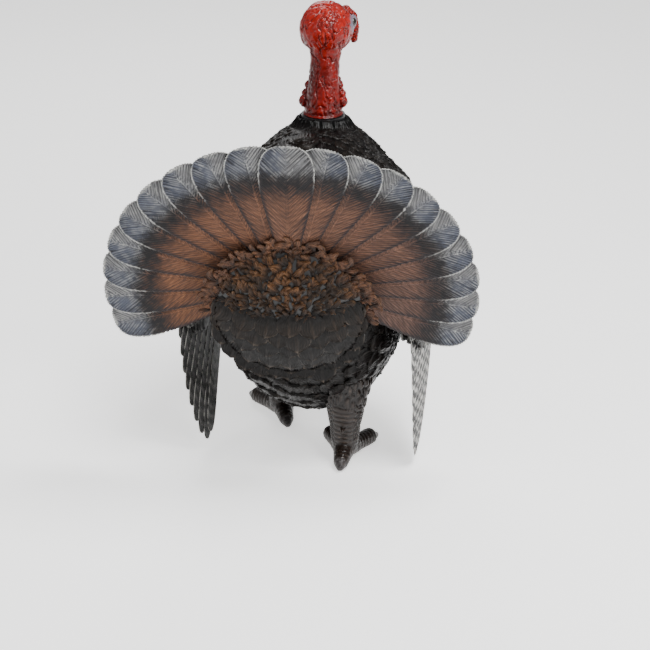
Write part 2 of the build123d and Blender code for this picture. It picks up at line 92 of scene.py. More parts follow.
def cloud(p, octaves=3, seed=0):
    """Several sizes of value noise, about -1 to 1."""
    total, scale, size = 0.0, 1.0, 0.0
    for i in range(octaves):
        total = total + scale * (2 * value_noise(p * 2**i, seed + i) - 1)
        size += scale
        scale *= 0.5
    return total / size


def cells(p, seed=0):
    """Distances to the nearest and second nearest scattered point."""
    base = np.floor(p)
    near = np.full(p.shape[:-1], 9.0)
    second = near.copy()
    for dx in (-1, 0, 1):
        for dy in (-1, 0, 1):
            for dz in (-1, 0, 1):
                c = base + (dx, dy, dz)
                spot = c + np.stack([hashed(c, seed + s) for s in (1, 2, 3)], -1)
                d = np.linalg.norm(p - spot, axis=-1)
                second = np.minimum(second, np.maximum(near, d))
                near = np.minimum(near, d)
    return near, second


# ------------------------------------------------------------------ mesh building


def grid_faces(rows, cols, start=0):
    i = np.arange(rows - 1)[:, None] * cols + np.arange(cols - 1)[None, :] + start
    return np.stack([i, i + 1, i + cols + 1, i + cols], -1).reshape(-1, 4)


def strip(a, b):
    """Quads between two equally long lists of vertices."""
    return np.stack([a[:-1], a[1:], b[1:], b[:-1]], -1)


def slab_faces(rows, cols):
    """Faces of two grids of vertices, one over the other, closed round their edge."""
    count = rows * cols
    ring = np.concatenate([
        np.arange(cols), np.arange(1, rows) * cols + cols - 1,
        (rows - 1) * cols + np.arange(cols - 2, -1, -1), np.arange(rows - 2, -1, -1) * cols,
    ])
    over, under = grid_faces(rows, cols), grid_faces(rows, cols, count)[:, ::-1]
    return np.concatenate([over, under, strip(ring, ring + count)[:, ::-1]])


def piece(name, verts, faces, tint, barb, material, body, slot, replaces=()):
    """A mesh from arrays, with its paint and its barb phase stored on the vertices."""
    verts, faces = np.asarray(verts, np.float32), np.asarray(faces, np.int32)
    mesh = bpy.data.meshes.new(name)
    mesh.vertices.add(len(verts))
    mesh.vertices.foreach_set("co", verts.ravel())
    mesh.loops.add(faces.size)
    mesh.loops.foreach_set("vertex_index", faces.ravel())
    mesh.polygons.add(len(faces))
    sides = faces.shape[1]
    mesh.polygons.foreach_set("loop_start", np.arange(0, faces.size, sides, dtype=np.int32))
    mesh.polygons.foreach_set("use_smooth", np.ones(len(faces), bool))
    mesh.update(calc_edges=True)
    mesh.validate()
    paint(mesh, tint, barb)
    mesh.materials.append(material)
    obj = bpy.data.objects.new(name, mesh)
    bpy.context.scene.collection.objects.link(obj)
    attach(obj, body)
    if replaces:
        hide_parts(*replaces)
    return obj


def paint(mesh, tint, barb):
    count = len(mesh.vertices)
    colour = np.ones((count, 4), np.float32)
    colour[:, :3] = np.clip(tint, 0, 1)
    mesh.attributes.new("tint", "FLOAT_COLOR", "POINT").data.foreach_set("color", colour.ravel())
    phase = np.zeros(count, np.float32) + np.asarray(barb, np.float32)
    mesh.attributes.new("barb", "FLOAT", "POINT").data.foreach_set("value", phase)


# ------------------------------------------------------------------ materials


def new_material(name):
    """A material with its nodes, its links, its shader and the object's coordinates."""
    m = bpy.data.materials.new(name)
    m.use_nodes = True
    nodes, links = m.node_tree.nodes, m.node_tree.links
    return m, nodes, links, nodes["Principled BSDF"], nodes.new("ShaderNodeTexCoord").outputs["Object"]


def add(nodes, kind, **inputs):
    """A node with values on its sockets; an underscore stands for the space in a socket's name."""
    node = nodes.new(kind)
    for key, value in inputs.items():
        node.inputs[key.replace("_", " ")].default_value = value
    return node


def attribute(nodes, name):
    node = nodes.new("ShaderNodeAttribute")
    node.attribute_name = name
    return node


def dress(nodes, links, shader, colour, patches, rough, relief, bump, depth):
    """Joins to the shader a colour, a roughness between two values in patches, and a relief."""
    roughness = add(nodes, "ShaderNodeMapRange", To_Min=rough[0], To_Max=rough[1])
    bumps = add(nodes, "ShaderNodeBump", Strength=bump, Distance=depth)
    links.new(colour, shader.inputs["Base Color"])
    links.new(patches, roughness.inputs["Value"])
    links.new(roughness.outputs[0], shader.inputs["Roughness"])
    links.new(relief, bumps.inputs["Height"])
    links.new(bumps.outputs[0], shader.inputs["Normal"])


def moulded(name, rough, spread, shine, shade, bump, grain=700.0, barbs=0.0, barb_shade=0.0, coat=0.0):
    """Painted moulded plastic: the vertex paint, broken up by noise, with fine barbs and grain in relief."""
    m, nodes, links, shader, place = new_material(name)

    def work(operation, *values):
        node = nodes.new("ShaderNodeMath")
        node.operation = operation
        for socket, value in zip(node.inputs, values):
            if isinstance(value, (int, float)):
                socket.default_value = value
            else:
                links.new(value, socket)
        return node.outputs[0]

    tint = attribute(nodes, "tint").outputs["Color"]
    fine = add(nodes, "ShaderNodeTexNoise", Scale=grain, Detail=3.0, Roughness=0.6)
    broad = add(nodes, "ShaderNodeTexNoise", Scale=grain / 9, Detail=4.0, Roughness=0.55)
    for node in (fine, broad):
        links.new(place, node.inputs["Vector"])
    fine, broad = fine.outputs["Fac"], broad.outputs["Fac"]
    level = work("MULTIPLY_ADD", broad, 2 * shade, 1.0 - shade)
    speck = work("MULTIPLY_ADD", fine, shade, 1.0 - shade / 2)
    level = work("MULTIPLY", level, speck)
    relief = work("MULTIPLY", fine, 0.5)
    if barbs:
        phase = attribute(nodes, "barb").outputs["Fac"]
        wobble = work("MULTIPLY_ADD", broad, 1.6, phase)
        wave = work("SINE", work("MULTIPLY", wobble, barbs * 2 * math.pi))
        wave = work("MULTIPLY_ADD", wave, 0.5, 0.5)
        # the barbs' grooves are painted darker than their ridges: painted shade
        dark = work("MULTIPLY_ADD", wave, barb_shade, 1.0 - barb_shade)
        level = work("MULTIPLY", level, dark)
        relief = work("ADD", relief, wave)
    scaled = nodes.new("ShaderNodeVectorMath")
    scaled.operation = "SCALE"
    links.new(tint, scaled.inputs[0])
    links.new(level, scaled.inputs["Scale"])
    between = (rough - spread, rough + spread)
    dress(nodes, links, shader, scaled.outputs[0], broad, between, relief, bump, 0.0006)
    shader.inputs["Specular IOR Level"].default_value = shine
    if coat:
        shader.inputs["Coat Weight"].default_value = coat
        shader.inputs["Coat Roughness"].default_value = 0.12
    return m


def plain(name, colour, rough, grain, metallic=0.0, stretch=(1, 1, 1), bump=0.12, wear=0.25):
    """A turned, cast or moulded hardware finish, with brushed or fine grain."""
    m, nodes, links, shader, place = new_material(name)
    shader.inputs["Metallic"].default_value = metallic
    mapping = add(nodes, "ShaderNodeMapping", Scale=stretch)
    links.new(place, mapping.inputs["Vector"])
    noise = add(nodes, "ShaderNodeTexNoise", Scale=grain, Detail=5.0)
    links.new(mapping.outputs[0], noise.inputs["Vector"])
    noise = noise.outputs["Fac"]
    ramp = nodes.new("ShaderNodeValToRGB")
    for stop, where, level in zip(ramp.color_ramp.elements, (0.3, 0.72), (1 - wear, 1 + wear)):
        stop.position = where
        stop.color = (*[min(1, c * level) for c in colour], 1)
    links.new(noise, ramp.inputs["Fac"])
    between = (rough - 0.12, rough + 0.15)
    dress(nodes, links, shader, ramp.outputs["Color"], noise, between, noise, bump, 0.0004)
    return m


VANE = moulded("tail_vane", 0.5, 0.16, 0.2, 0.25, 0.5, barbs=2.0, barb_shade=0.4)
COVERT = moulded("covert_plumage", 0.34, 0.18, 0.16, 0.4, 0.6, barbs=1.0, barb_shade=0.45)
PLUMAGE = moulded("body_plumage", 0.32, 0.18, 0.14, 0.4, 0.6, barbs=1.0, barb_shade=0.5)
WING = moulded("wing_plumage", 0.42, 0.18, 0.14, 0.3, 0.5, barbs=1.5, barb_shade=0.35)
SKIN = moulded("red_skin", 0.3, 0.12, 0.22, 0.3, 0.35, grain=420.0, coat=0.05)
SCALE = moulded("leg_scales", 0.3, 0.14, 0.28, 0.4, 0.5, grain=600.0, coat=0.05)
BRISTLE = moulded("beard_bristle", 0.5, 0.15, 0.25, 0.4, 0.3, grain=900.0)
HORN = plain("beak_horn", (0.22, 0.15, 0.075), rough=0.32, grain=420.0, bump=0.2)
BLACK = plain("black_moulding", (0.008, 0.008, 0.0085), rough=0.45, grain=1200.0, bump=0.35)
ZINC = plain("zinc_screws", (0.5, 0.5, 0.48), metallic=1.0, rough=0.32, stretch=(1, 1, 9), grain=500.0)
EYE = plain("eye_gloss", (0.012, 0.008, 0.006), rough=0.16, grain=300.0, bump=0.03)

# ------------------------------------------------------------------ the fan's own coordinates

HUB = np.array(JOINTS["fold_right_9"]["pos_m"])
BACK = np.array(JOINTS["fold_right_9"]["axis"])
ACROSS = np.array(JOINTS["tail_tilt"]["axis"])
UP = np.cross(BACK, ACROSS)
A_SIDE = 9
LAYER = 2.0 * MM
STEP = math.radians(11.8)
LENGTH = 260.0 * MM
STACK_BACK = (2 * A_SIDE * 2.0 + 1.7 + 0.4) * MM


def fan(x, v, w):
    """Points from across, up and back along the fan."""
    return HUB + x[..., None] * ACROSS + v[..., None] * UP + w[..., None] * BACK


BLADE_R = np.array([8.0, 40.0, 110.0, 170.0, 212.0]) * MM
BLADE_W = np.array([5.5, 8.0, 20.0, 33.0, 38.0]) * MM
BLADE = np.polyfit(BLADE_R, BLADE_W, 4)


def blade_rows(count):
    """Distance from the hub and half width for each row, with the rows close together round the tip."""
    stem = np.linspace(8 * MM, 212 * MM, int(count * 0.74), endpoint=False)
    turn = np.linspace(0, math.pi / 2, count - len(stem))
    tip_r = 212 * MM + 48 * MM * np.sin(turn) ** 0.86
    tip_w = 38 * MM * np.maximum(np.cos(turn), 0) ** 0.72
    return np.concatenate([stem, tip_r]), np.concatenate([np.polyval(BLADE, stem), tip_w])


RUST = np.array((0.19, 0.074, 0.031))
MAUVE = np.array((0.118, 0.060, 0.043))
NIGHT = np.array((0.006, 0.005, 0.006))
ASH = np.array((0.15, 0.15, 0.155))
SHADED_SLATE = np.array((0.062, 0.073, 0.108))
CHALK = np.array((0.46, 0.46, 0.44))


def vane_paint(r, x, half, relief, index, p, rear=True):
    """Brown blade, dark band, grey tip with dry-brushed edges; painted shade in the grooves, along the brown
    part's edges, on one half of each tip and on the face towards the bird.
    """
    side = (index + A_SIDE) / (2 * A_SIDE)
    brown = MAUVE * (1 - side) + RUST * side
    c = np.abs(x) / np.maximum(half, 1e-6)
    ragged = cloud(p * 220, 3, 5)
    t = r / LENGTH - 0.015 * c**2 + 0.022 * ragged - 0.02 * (side < 0.5) + 0.012
    bars = 0.82 + 0.18 * np.sin(2 * np.pi * (r - 0.5 * np.abs(x)) / (8.5 * MM) + 1.5 * ragged)
    base = brown * (bars * (1 + 0.28 * cloud(p * 60, 3, 9)))[..., None]
    base = mix(base, base * 0.55, 0.6 * (1 - smooth(0.30, 0.48, t)))
    # one half vane of each tip, towards the overlapping neighbour, is painted slate: painted shade
    outer = np.sign(x) * (-1 if index >= 0 else 1)
    base = mix(base, NIGHT, smooth(0.63, 0.755, t))
    tip = mix(ASH, SHADED_SLATE, smooth(-0.2, 0.5, outer * c) * 0.85)
    tip = tip * (1 + 0.3 * cloud(p * 90, 2, 3))[..., None]
    base = mix(base, tip, smooth(0.80, 0.89, t))
    high = smooth(0.35, 0.95, relief)
    brushed = mix(brown * 2.0, CHALK, smooth(0.76, 0.84, t))
    brush = high * (0.34 + 0.30 * smooth(0.80, 0.87, t)) * smooth(-0.5, 0.5, cloud(p * 130, 2, 8))
    base = mix(base, brushed, brush)
    # painted shade in the grooves, where the relief is low
    base = mix(base, NIGHT * 1.6, (1 - smooth(0.08, 0.5, relief)) * (0.74 + 0.16 * smooth(0.80, 0.88, t)))
    # painted shade along the brown part's edges, where the neighbouring feather overlaps
    near_edge = smooth(0.78, 0.95, c) * (1 - smooth(0.70, 0.80, t))
    base = mix(base, NIGHT * 2, 0.8 * near_edge)
    edge = np.minimum(half - np.abs(x), 1.0)
    rim = (1 - smooth(0.6 * MM, 2.4 * MM, edge)) * smooth(0.70, 0.84, t)
    rim = np.maximum(rim, smooth(0.984, 0.996, r / LENGTH + 0.006 * ragged))
    base = mix(base, CHALK, rim * smooth(-0.75, 0.15, cloud(p * 260, 2, 12)))
    # the face towards the bird is painted a quarter darker: painted shade
    if not rear:
        base = base * 0.75
    return base


def tail_feather(index):
    """One feather of the fan: index runs from 9 on the left to -9 on the right, and is 0 at the centre."""
    rows, cols = 216, 61
    r, half = blade_rows(rows)
    c = np.linspace(-1, 1, cols)
    c = np.sign(c) * np.abs(c) ** 0.9
    rr, cc = np.meshgrid(r, c, indexing="ij")
    hh = np.repeat(half[:, None], cols, 1)
    rng = np.random.default_rng(100 + index)
    x = cc * hh
    pitch = 5.6 * MM
    outward = 0.0 if index == 0 else -np.sign(index) * 5.0 * MM
    slant = np.abs(x - outward * smooth(0.15, 0.5, rr / LENGTH))
    phase = (rr - 1.15 * slant) / pitch
    jitter = np.stack([phase * 0.8, np.sign(x) * 3.0, np.full_like(rr, index * 7.3)], -1)
    phase = phase + 0.45 * cloud(jitter, 2, 4)
    wave = 0.5 + 0.5 * np.cos(2 * np.pi * phase)
    shaft = 2.1 * MM * (1 - 0.60 * rr / LENGTH)
    ridge = 1 - smooth(0.55, 1.0, slant / shaft)
    split = 1 - smooth(0.0, 0.4, slant / shaft)
    vane = smooth(1.0, 1.6, slant / shaft)
    slit = np.zeros_like(rr)
    for spot in rng.uniform(90, 255, 15) * MM:
        hand = rng.choice((-1, 1))
        line = np.abs(rr - 1.15 * slant + 20 * MM - spot)
        cut = (1 - smooth(0.5 * MM, 1.5 * MM, line)) * (np.sign(x) == hand) * smooth(0.45, 0.8, np.abs(cc))
        slit = np.maximum(slit, cut)
    relief = 0.25 + 0.55 * wave**1.3 * vane + 0.7 * ridge - 0.5 * split * ridge - 0.55 * slit
    lip = 0.5 * smooth(0.93, 0.99, np.abs(cc)) * smooth(0.7, 0.85, rr / LENGTH)
    relief = np.clip(relief - 0.18 * np.abs(cc) ** 3 + lip, 0, 1.1)
    nibble = 1 - 0.035 * slit - 0.012 * (1 - wave) * smooth(0.5, 0.8, rr / LENGTH)
    x_in = x * nibble
    r_in = rr * (1 - 0.006 * (1 - wave) * smooth(0.93, 1.0, rr / LENGTH))
    turn = index * STEP
    level = 2 * A_SIDE if index == 0 else 2 * (A_SIDE - abs(index)) + (1 if index < 0 else 0)
    fx, fv = x_in * math.cos(turn) - r_in * math.sin(turn), x_in * math.sin(turn) + r_in * math.cos(turn)
    low = level * LAYER
    crown = low + (1.75 - 1.0 * (1 - relief)) * MM
    front = low + 0.25 * MM * (1 - relief)
    top, under = fan(fx, fv, crown), fan(fx, fv, front)
    verts = np.concatenate([top.reshape(-1, 3), under.reshape(-1, 3)])
    local = np.stack([x, rr, np.full_like(x, 0.05 * index)], -1)
    tint = np.concatenate([
        vane_paint(rr, x, hh, relief, index, local).reshape(-1, 3),
        vane_paint(rr, x, hh, relief, index, local + 0.5, False).reshape(-1, 3),
    ])
    barb = np.concatenate([phase.ravel(), phase.ravel()])
    # the eye that turns on the hub bolt, as rings of a radius and a height
    marks = 49
    around = np.linspace(0, 2 * math.pi, marks)
    across, up = np.cos(around) * MM, np.sin(around) * MM
    loops = [(4.05, 0.0), (11.0, 0.0), (11.4, 0.4), (11.4, 1.3), (11.0, 1.7), (4.05, 1.7), (4.05, 0.0)]
    eye = np.concatenate([fan(across * q, up * q, np.full(marks, low + h * MM)) for q, h in loops])
    faces = np.concatenate([slab_faces(rows, cols), grid_faces(len(loops), marks, len(verts))[:, ::-1]])
    verts = np.concatenate([verts, eye])
    tint = np.concatenate([tint, np.tile(MAUVE * 0.3, (len(eye), 1))])
    barb = np.concatenate([barb, np.zeros(len(eye))])
    if index == 0:
        node, body = "tail_feather_centre", "tail_fan"
    else:
        side = "left" if index > 0 else "right"
        node, body = f"tail_feather_{side}_{abs(index)}", f"feather_{side}_{abs(index)}"
    piece("vane_" + node[5:], verts, faces, tint, barb, VANE, body, "tail_vane", [node])


for number in range(-A_SIDE, A_SIDE + 1):
    tail_feather(number)

# ------------------------------------------------------------------ overlapping moulded feathers


class Round:
    """A closed form seen from its middle: a smoothed map of radius over direction, with the holes filled."""

    def __init__(self, nodes, centre, rows=121, cols=240):
        self.centre, self.rows, self.cols = np.array(centre), rows, cols
        verts, polys = [], []
        for name in nodes:
            mesh = frame["nodes"][name].data
            start = len(verts)
            verts += [v.co.copy() for v in mesh.vertices]
            polys += [[start + i for i in p.vertices] for p in mesh.polygons]
        tree = BVHTree.FromPolygons(verts, polys)
        phi = np.linspace(0.0, math.pi, rows)
        theta = np.linspace(0, 2 * math.pi, cols, endpoint=False)
        phi, theta = np.meshgrid(phi, theta, indexing="ij")
        rays = self.direction(phi, theta)
        radius = np.zeros((rows, cols))
        for i in range(rows):
            for j in range(cols):
                d = Vector(rays[i, j])
                hit = tree.ray_cast(Vector(centre) + d * 0.6, -d)[3]
                radius[i, j] = 0.6 - hit if hit is not None else 0.0
        wide = radius
        for pick in (np.maximum,) * 8 + (np.minimum,) * 8:
            wide = pick(wide, pick(np.roll(wide, 1, 1), np.roll(wide, -1, 1)))
            wide[1:-1] = pick(wide[1:-1], pick(wide[:-2], wide[2:]))
        radius = np.where(wide - radius > 0.004, wide, radius)
        for _ in range(3):
            radius = (radius + np.roll(radius, 1, 1) + np.roll(radius, -1, 1)) / 3
            radius[1:-1] = (radius[1:-1] + radius[:-2] + radius[2:]) / 3
        radius[0], radius[-1] = radius[0].mean(), radius[-1].mean()
        self.radius = radius
        place = self.centre + rays * radius[..., None]
        along = np.gradient(place, axis=0)
        about = np.roll(place, -1, 1) - np.roll(place, 1, 1)
        self.normal = unit(np.cross(along, about))
        if np.mean(np.sum(self.normal * rays, -1)) < 0:
            self.normal = -self.normal
        self.normal[0], self.normal[-1] = (0, 1, 0), (0, -1, 0)

    @staticmethod
    def direction(phi, theta):
        """phi is 0 at the breast and pi at the rump; theta is 0 at the right and pi / 2 on top."""
        return np.stack([np.sin(phi) * np.cos(theta), np.cos(phi), np.sin(phi) * np.sin(theta)], -1)

    def look(self, grid, phi, theta):
        """The map's value in a direction, between its four nearest entries."""
        f = np.clip(phi / math.pi * (self.rows - 1), 0, self.rows - 1.001)
        g = (theta / (2 * math.pi)) % 1.0 * self.cols
        i, j = f.astype(int), g.astype(int) % self.cols
        f, g = f - i, g - np.floor(g)
        k = (j + 1) % self.cols
        if grid.ndim == 3:
            f, g = f[..., None], g[..., None]
        here = grid[i, j] * (1 - f) + grid[i + 1, j] * f
        beside = grid[i, k] * (1 - f) + grid[i + 1, k] * f
        return here * (1 - g) + beside * g

    def at(self, phi, theta):
        d = self.direction(phi, theta)
        return self.centre + d * self.look(self.radius, phi, theta)[..., None]

    def __call__(self, p):
        d = unit(p - self.centre)
        phi = np.arccos(np.clip(d[..., 1], -1, 1))
        theta = np.arctan2(d[..., 2], d[..., 0])
        place = self.centre + d * self.look(self.radius, phi, theta)[..., None]
        return place, unit(self.look(self.normal, phi, theta))


SUNK = -1.2 * MM  # the height of a feather's underside over the form it grows on


def shingles(surface, root, way, length, width, lift, colour, edge, ridge, seed,
             rows=12, cols=11, count=4.0, curl=0.0, rough=0.0, closed=False):
    """Rounded feathers that overlap on a surface. Gives vertices, faces, paint and barb phase; the paint holds
    painted shade in the grooves, at the roots and on the undersides, and a painted highlight in the edge colour on
    the rims and ridges.
    """
    n = len(root)
    body = int(rows * 0.55)
    turn = np.linspace(0, math.pi / 2, rows - body)
    a = np.concatenate([np.linspace(0, 0.58, body, endpoint=False), 0.58 + 0.42 * np.sin(turn)])
    w = np.concatenate([0.5 + 0.5 * smooth(0, 0.5, a[:body]), np.maximum(np.cos(turn), 0.0) ** 0.8])
    c = np.linspace(-1, 1, cols)
    aa, cc = np.meshgrid(a, c, indexing="ij")
    ww = np.repeat(w[:, None], cols, 1)
    _, normal = surface(root)
    way = unit(way - np.sum(way * normal, -1, keepdims=True) * normal)
    side = np.cross(way, normal)
    shape = (slice(None), None, None, None)
    rng = np.random.default_rng(seed)
    bend = rng.uniform(-1, 1, n)[:, None, None] * curl * np.sin(aa * 3.0)[None]
    flat = (
        root[:, None, None, :]
        + way[:, None, None, :] * (aa[None, ..., None] * length[shape])
        + side[:, None, None, :] * ((cc * ww / 2)[None, ..., None] * width[shape])
        + side[:, None, None, :] * (bend[..., None] * width[shape])
    )
    place, out = surface(flat)
    fine = rng.uniform(0, 1, n)[:, None, None]
    phase = cc[None] * count + 0.25 * np.sin(9 * aa[None] + 6 * fine) + fine
    groove = 0.5 + 0.5 * np.cos(2 * np.pi * phase)
    shaft = 1 - smooth(0.04, 0.16, np.abs(cc))
    relief = np.clip(0.25 + 0.6 * groove * smooth(0.05, 0.3, aa) + 0.5 * shaft[None], 0, 1.1)
    high = lift[:, None, None] * (0.12 + 0.88 * aa[None] ** 1.3) * (1 - 0.35 * cc[None] ** 2)
    high = high + ridge * MM * (relief - 0.5) * smooth(0.02, 0.2, aa)
    high = high + rough * MM * cloud(flat * 330, 2, seed + 3) * smooth(0.02, 0.2, aa)
    high[:, 0, :] = SUNK
    top = place + out * high[..., None]
    sunk = place + out * SUNK
    verts = np.concatenate([top.reshape(n, -1, 3), sunk.reshape(n, -1, 3)], 1)
    quads = grid_faces(rows, cols)
    last = (rows - 1) * cols
    ring = np.concatenate([
        np.arange(rows) * cols, last + np.arange(1, cols), np.arange(rows - 2, -1, -1) * cols + cols - 1,
    ])
    quads = np.concatenate([quads, strip(ring, ring + rows * cols)])
    if closed:
        quads = np.concatenate([quads, grid_faces(rows, cols, rows * cols)[:, ::-1]])
    each = 2 * rows * cols
    faces = (quads[None] + (np.arange(n) * each)[:, None, None]).reshape(-1, 4)
    colour = colour[:, None, None, :] * (0.75 + 0.5 * rng.uniform(0, 1, n)[:, None, None, None])
    # painted shade in the grooves and at each root, under the feather before it, and painted highlight on the
    # ridges and tips
    root_shade = (0.28 + smooth(0.25, 0.85, aa))[None, ..., None]
    tint = colour * (0.12 + 1.35 * relief[..., None] ** 1.5) * root_shade
    # painted highlight: the edge colour on the rims and ridges, broken up in patches
    glint, amount = edge
    sides = smooth(0.8, 0.95, np.abs(cc)) * smooth(0.4, 0.7, aa)
    rim = np.maximum(smooth(0.86, 0.97, aa), sides)[None] * relief
    in_patches = smooth(-0.25, 0.45, cloud(flat * 190, 2, seed))
    tint = mix(tint, glint, np.clip(rim * amount * in_patches, 0, 1))
    # the undersides are painted at three tenths of the top's colour: painted shade
    tint = np.concatenate([tint.reshape(n, -1, 3), (tint * 0.3).reshape(n, -1, 3)], 1)
    phases = np.concatenate([phase.reshape(n, -1), phase.reshape(n, -1)], 1)
    return verts.reshape(-1, 3), faces, tint.reshape(-1, 3), phases.ravel()


def joined(parts):
    """Several (vertices, faces, paint, barb) groups as one."""
    verts, faces, tint, barb, start = [], [], [], [], 0
    for v, f, t, b in parts:
        verts.append(v)
        faces.append(f + start)
        tint.append(t)
        barb.append(b)
        start += len(v)
    return np.concatenate(verts), np.concatenate(faces), np.concatenate(tint), np.concatenate(barb)


# ------------------------------------------------------------------ body plumage

TORSO = ["body_shell_left", "body_shell_right", "shoulder_cover_left", "shoulder_cover_right"]
BODY = Round(TORSO, (0, (38 + SHIFT) * MM, 0.262))
PIN = np.array(JOINTS["tail_tilt"]["pos_m"])
NECK_AXIS = np.array(JOINTS["neck_turn"]["pos_m"])
BROWN_BLACK = np.array((0.0050, 0.0038, 0.0034))
GLINT = np.array((0.060, 0.050, 0.042))


def body_rows():
    """Roots of the body feathers: rows from breast to rump, each row staggered on the last."""
    rng = np.random.default_rng(5)
    places, sizes = [], []
    phi, row = 0.03, 0
    while phi < math.pi - 0.10:
        size = 0.85 + 0.95 * smooth(1.0, 2.6, phi)
        theta = np.linspace(0, 2 * math.pi, 400)
        line = BODY.at(np.full(400, phi), theta)
        run = np.concatenate([[0], np.cumsum(np.linalg.norm(np.diff(line, axis=0), axis=1))])
        number = max(6, int(run[-1] / (17.5 * MM * size)))
        marks = (np.arange(number) + 0.5 * (row % 2)) / number * run[-1] + rng.uniform(-1.5, 1.5, number) * MM
        angles = np.interp(marks % run[-1], run, theta)
        lift = phi + rng.uniform(-0.012, 0.012, number)
        places.append(BODY.at(lift, angles))
        sizes.append(np.full(number, size))
        ahead, here = (BODY.at(np.array([angle]), np.array([0.3])) for angle in (phi + 0.05, phi))
        phi += 11.5 * MM * size / (np.linalg.norm(ahead - here) / 0.05)
        row += 1
    # a few more near the head of the screw that closes the seam on the back
    hump = [(x - 26.0, y + 40 + SHIFT, 462.0) for x, y in ((-9, 6), (9, 6), (0, 11), (-5, 16), (6, 17))]
    places.append(BODY(np.array(hump) * MM)[0])
    sizes.append(np.full(len(hump), 1.8))
    return np.concatenate(places), np.concatenate(sizes), rng


def clear_of_joints(points, high, from_neck, along, off):
    """Whether points keep off the neck's socket, where high, and off the tail's pin, all in millimetres."""
    neck = np.linalg.norm((points - NECK_AXIS)[:, :2], axis=1) > from_neck * MM
    along_pin = (points - PIN) @ ACROSS
    off_pin = np.linalg.norm((points - PIN) - along_pin[:, None] * ACROSS, axis=1)
    return (neck | ~high) & ((np.abs(along_pin) > along * MM) | (off_pin > off * MM))


def body_plumage():
    """The body's feathers in three pieces; all but the breast's lie back along the bird."""
    root, size, rng = body_rows()
    _, normal = BODY(root)
    free = clear_of_joints(root, root[:, 2] >= 0.40, 39, 36, 40)
    root, size, normal = root[free], size[free], normal[free]
    aside, ahead, height = np.abs(root[:, 0]), root[:, 1], root[:, 2]
    back = np.array((0.0, -1.0, 0.0)) + np.array((0.0, 0.0, -0.45)) * (1 - np.abs(normal[:, 2:3]))
    ruffled = 0.22 * np.stack([cloud(root * 45, 2, s) for s in (1, 2, 3)], -1)
    back, down = back + ruffled, np.array((0.0, 0.0, -1.0)) + ruffled
    on_back = smooth(0.55, 0.85, normal[:, 2]) * smooth(-0.02, -0.06, 0.07 - ahead)
    length = 27 * MM * size * (1 + 0.25 * on_back)
    width = 22 * MM * size * (1 - 0.25 * on_back)
    lift = (2.4 + 3.6 * smooth(0.95, 1.7, size)) * MM * rng.uniform(0.75, 1.3, len(root))
    flank = smooth(0.10, 0.125, aside) * smooth(0.15, 0.2, height) * smooth(-0.02, 0.02, ahead)
    lift = lift * (1 - 0.65 * flank)
    skirt = smooth(0.04, -0.02, ahead) * (1 - smooth(0.17, 0.24, height)) * smooth(0.03, 0.08, aside)
    lift = lift + 7.5 * MM * skirt
    length = length * (1 + 0.35 * skirt)
    screw = np.array((-25.0, 46.0 + SHIFT, 462.0)) * MM
    lift = lift + 6.5 * MM * (1 - smooth(14 * MM, 28 * MM, np.linalg.norm(root - screw, axis=1)))
    colour = BROWN_BLACK * (0.8 + 0.6 * rng.uniform(0, 1, (len(root), 1)))
    bronze = np.array((0.026, 0.013, 0.006))
    patches = 0.35 * smooth(0.0, 0.7, cloud(root * 14, 2, 6))
    colour = mix(colour, bronze, patches * smooth(-0.4, 0.3, normal[:, 1]))
    # the breast's feathers hang down and the others lie back; both grow where the two flows part
    facing = normal[:, 1]
    # feathers that lie back are left out where their tips would reach the neck's peg or the tail's bracket
    tip = root + unit(back) * length[:, None]
    clear = clear_of_joints(tip, height >= 0.40, 33, 32, 26) & (facing < 0.55)
    flows = (
        ("upper", back, clear & (height >= 0.30)),
        ("lower", back, clear & (height < 0.30)),
        ("breast", down, facing > 0.10),
    )
    for name, way, chosen in flows:
        form = [array[chosen] for array in (root, way, length, width, lift, colour)]
        data = shingles(BODY, *form, (GLINT, 0.45), 2.5, 21, rows=14, cols=17, curl=0.2, rough=1.3)
        piece(f"plumage_{name}", *data, PLUMAGE, "body", "body_plumage")


body_plumage()


class ShoulderCap:
    """The scapular cover's rounded form; hand is 1 on the right and -1 on the left."""

    def __init__(self, hand):
        self.centre = np.array((92.0 * hand, 40.0 + SHIFT, 385.0)) * MM
        self.radii = np.array((46.0, 74.0, 30.0)) * MM

    def __call__(self, p):
        q = unit((p - self.centre) / self.radii)
        place = self.centre + q * self.radii
        place[..., 2] = np.maximum(place[..., 2], 379.5 * MM)
        return place, unit(q / self.radii)


def shoulder_feathers(hand):
    """Scapulars in rows from the cover's front to its back, their tips over its lower edge."""
    side = "right" if hand > 0 else "left"
    rng = np.random.default_rng(61)
    cap = ShoulderCap(hand)
    roots = []
    for row, ahead in enumerate(np.linspace(0.92, -0.88, 13)):
        reach = math.sqrt(1 - ahead**2)
        for i in range(9):
            tilt = math.radians(4 + 17 * (i + 0.5 * (row % 2))) + rng.uniform(-0.03, 0.03)
            if tilt < math.radians(125):
                roots.append((hand * reach * math.cos(tilt), ahead, reach * math.sin(tilt)))
    roots = cap.centre + np.array(roots) * cap.radii
    way = np.tile(np.array((0.25 * hand, -1.0, -0.30)), (len(roots), 1))
    size = rng.uniform(0.9, 1.2, len(roots))
    colour = BROWN_BLACK * rng.uniform(0.8, 1.5, (len(roots), 1))
    form = [k * MM * size for k in (24, 18, 2.4)] + [colour, (GLINT, 0.45)]
    data = shingles(cap, roots, way, *form, 1.2, 62, cols=15, count=3.0, curl=0.1, rough=0.6)
    piece(f"shoulder_feathers_{side}", *data, PLUMAGE, "body", "body_plumage")


for hand in (1, -1):
    shoulder_feathers(hand)


def ruff_surface(p):
    """The body near the neck, drawn up round the neck socket."""
    place, normal = BODY(p)
    out = (place - NECK_AXIS) * (1, 1, 0)
    far = np.linalg.norm(out, axis=-1)[..., None]
    near = 1 - smooth(34 * MM, 50 * MM, far)
    place = place + np.array((0, 0, 13.0 * MM)) * near
    return place, unit(normal + 0.55 * unit(out) * near)


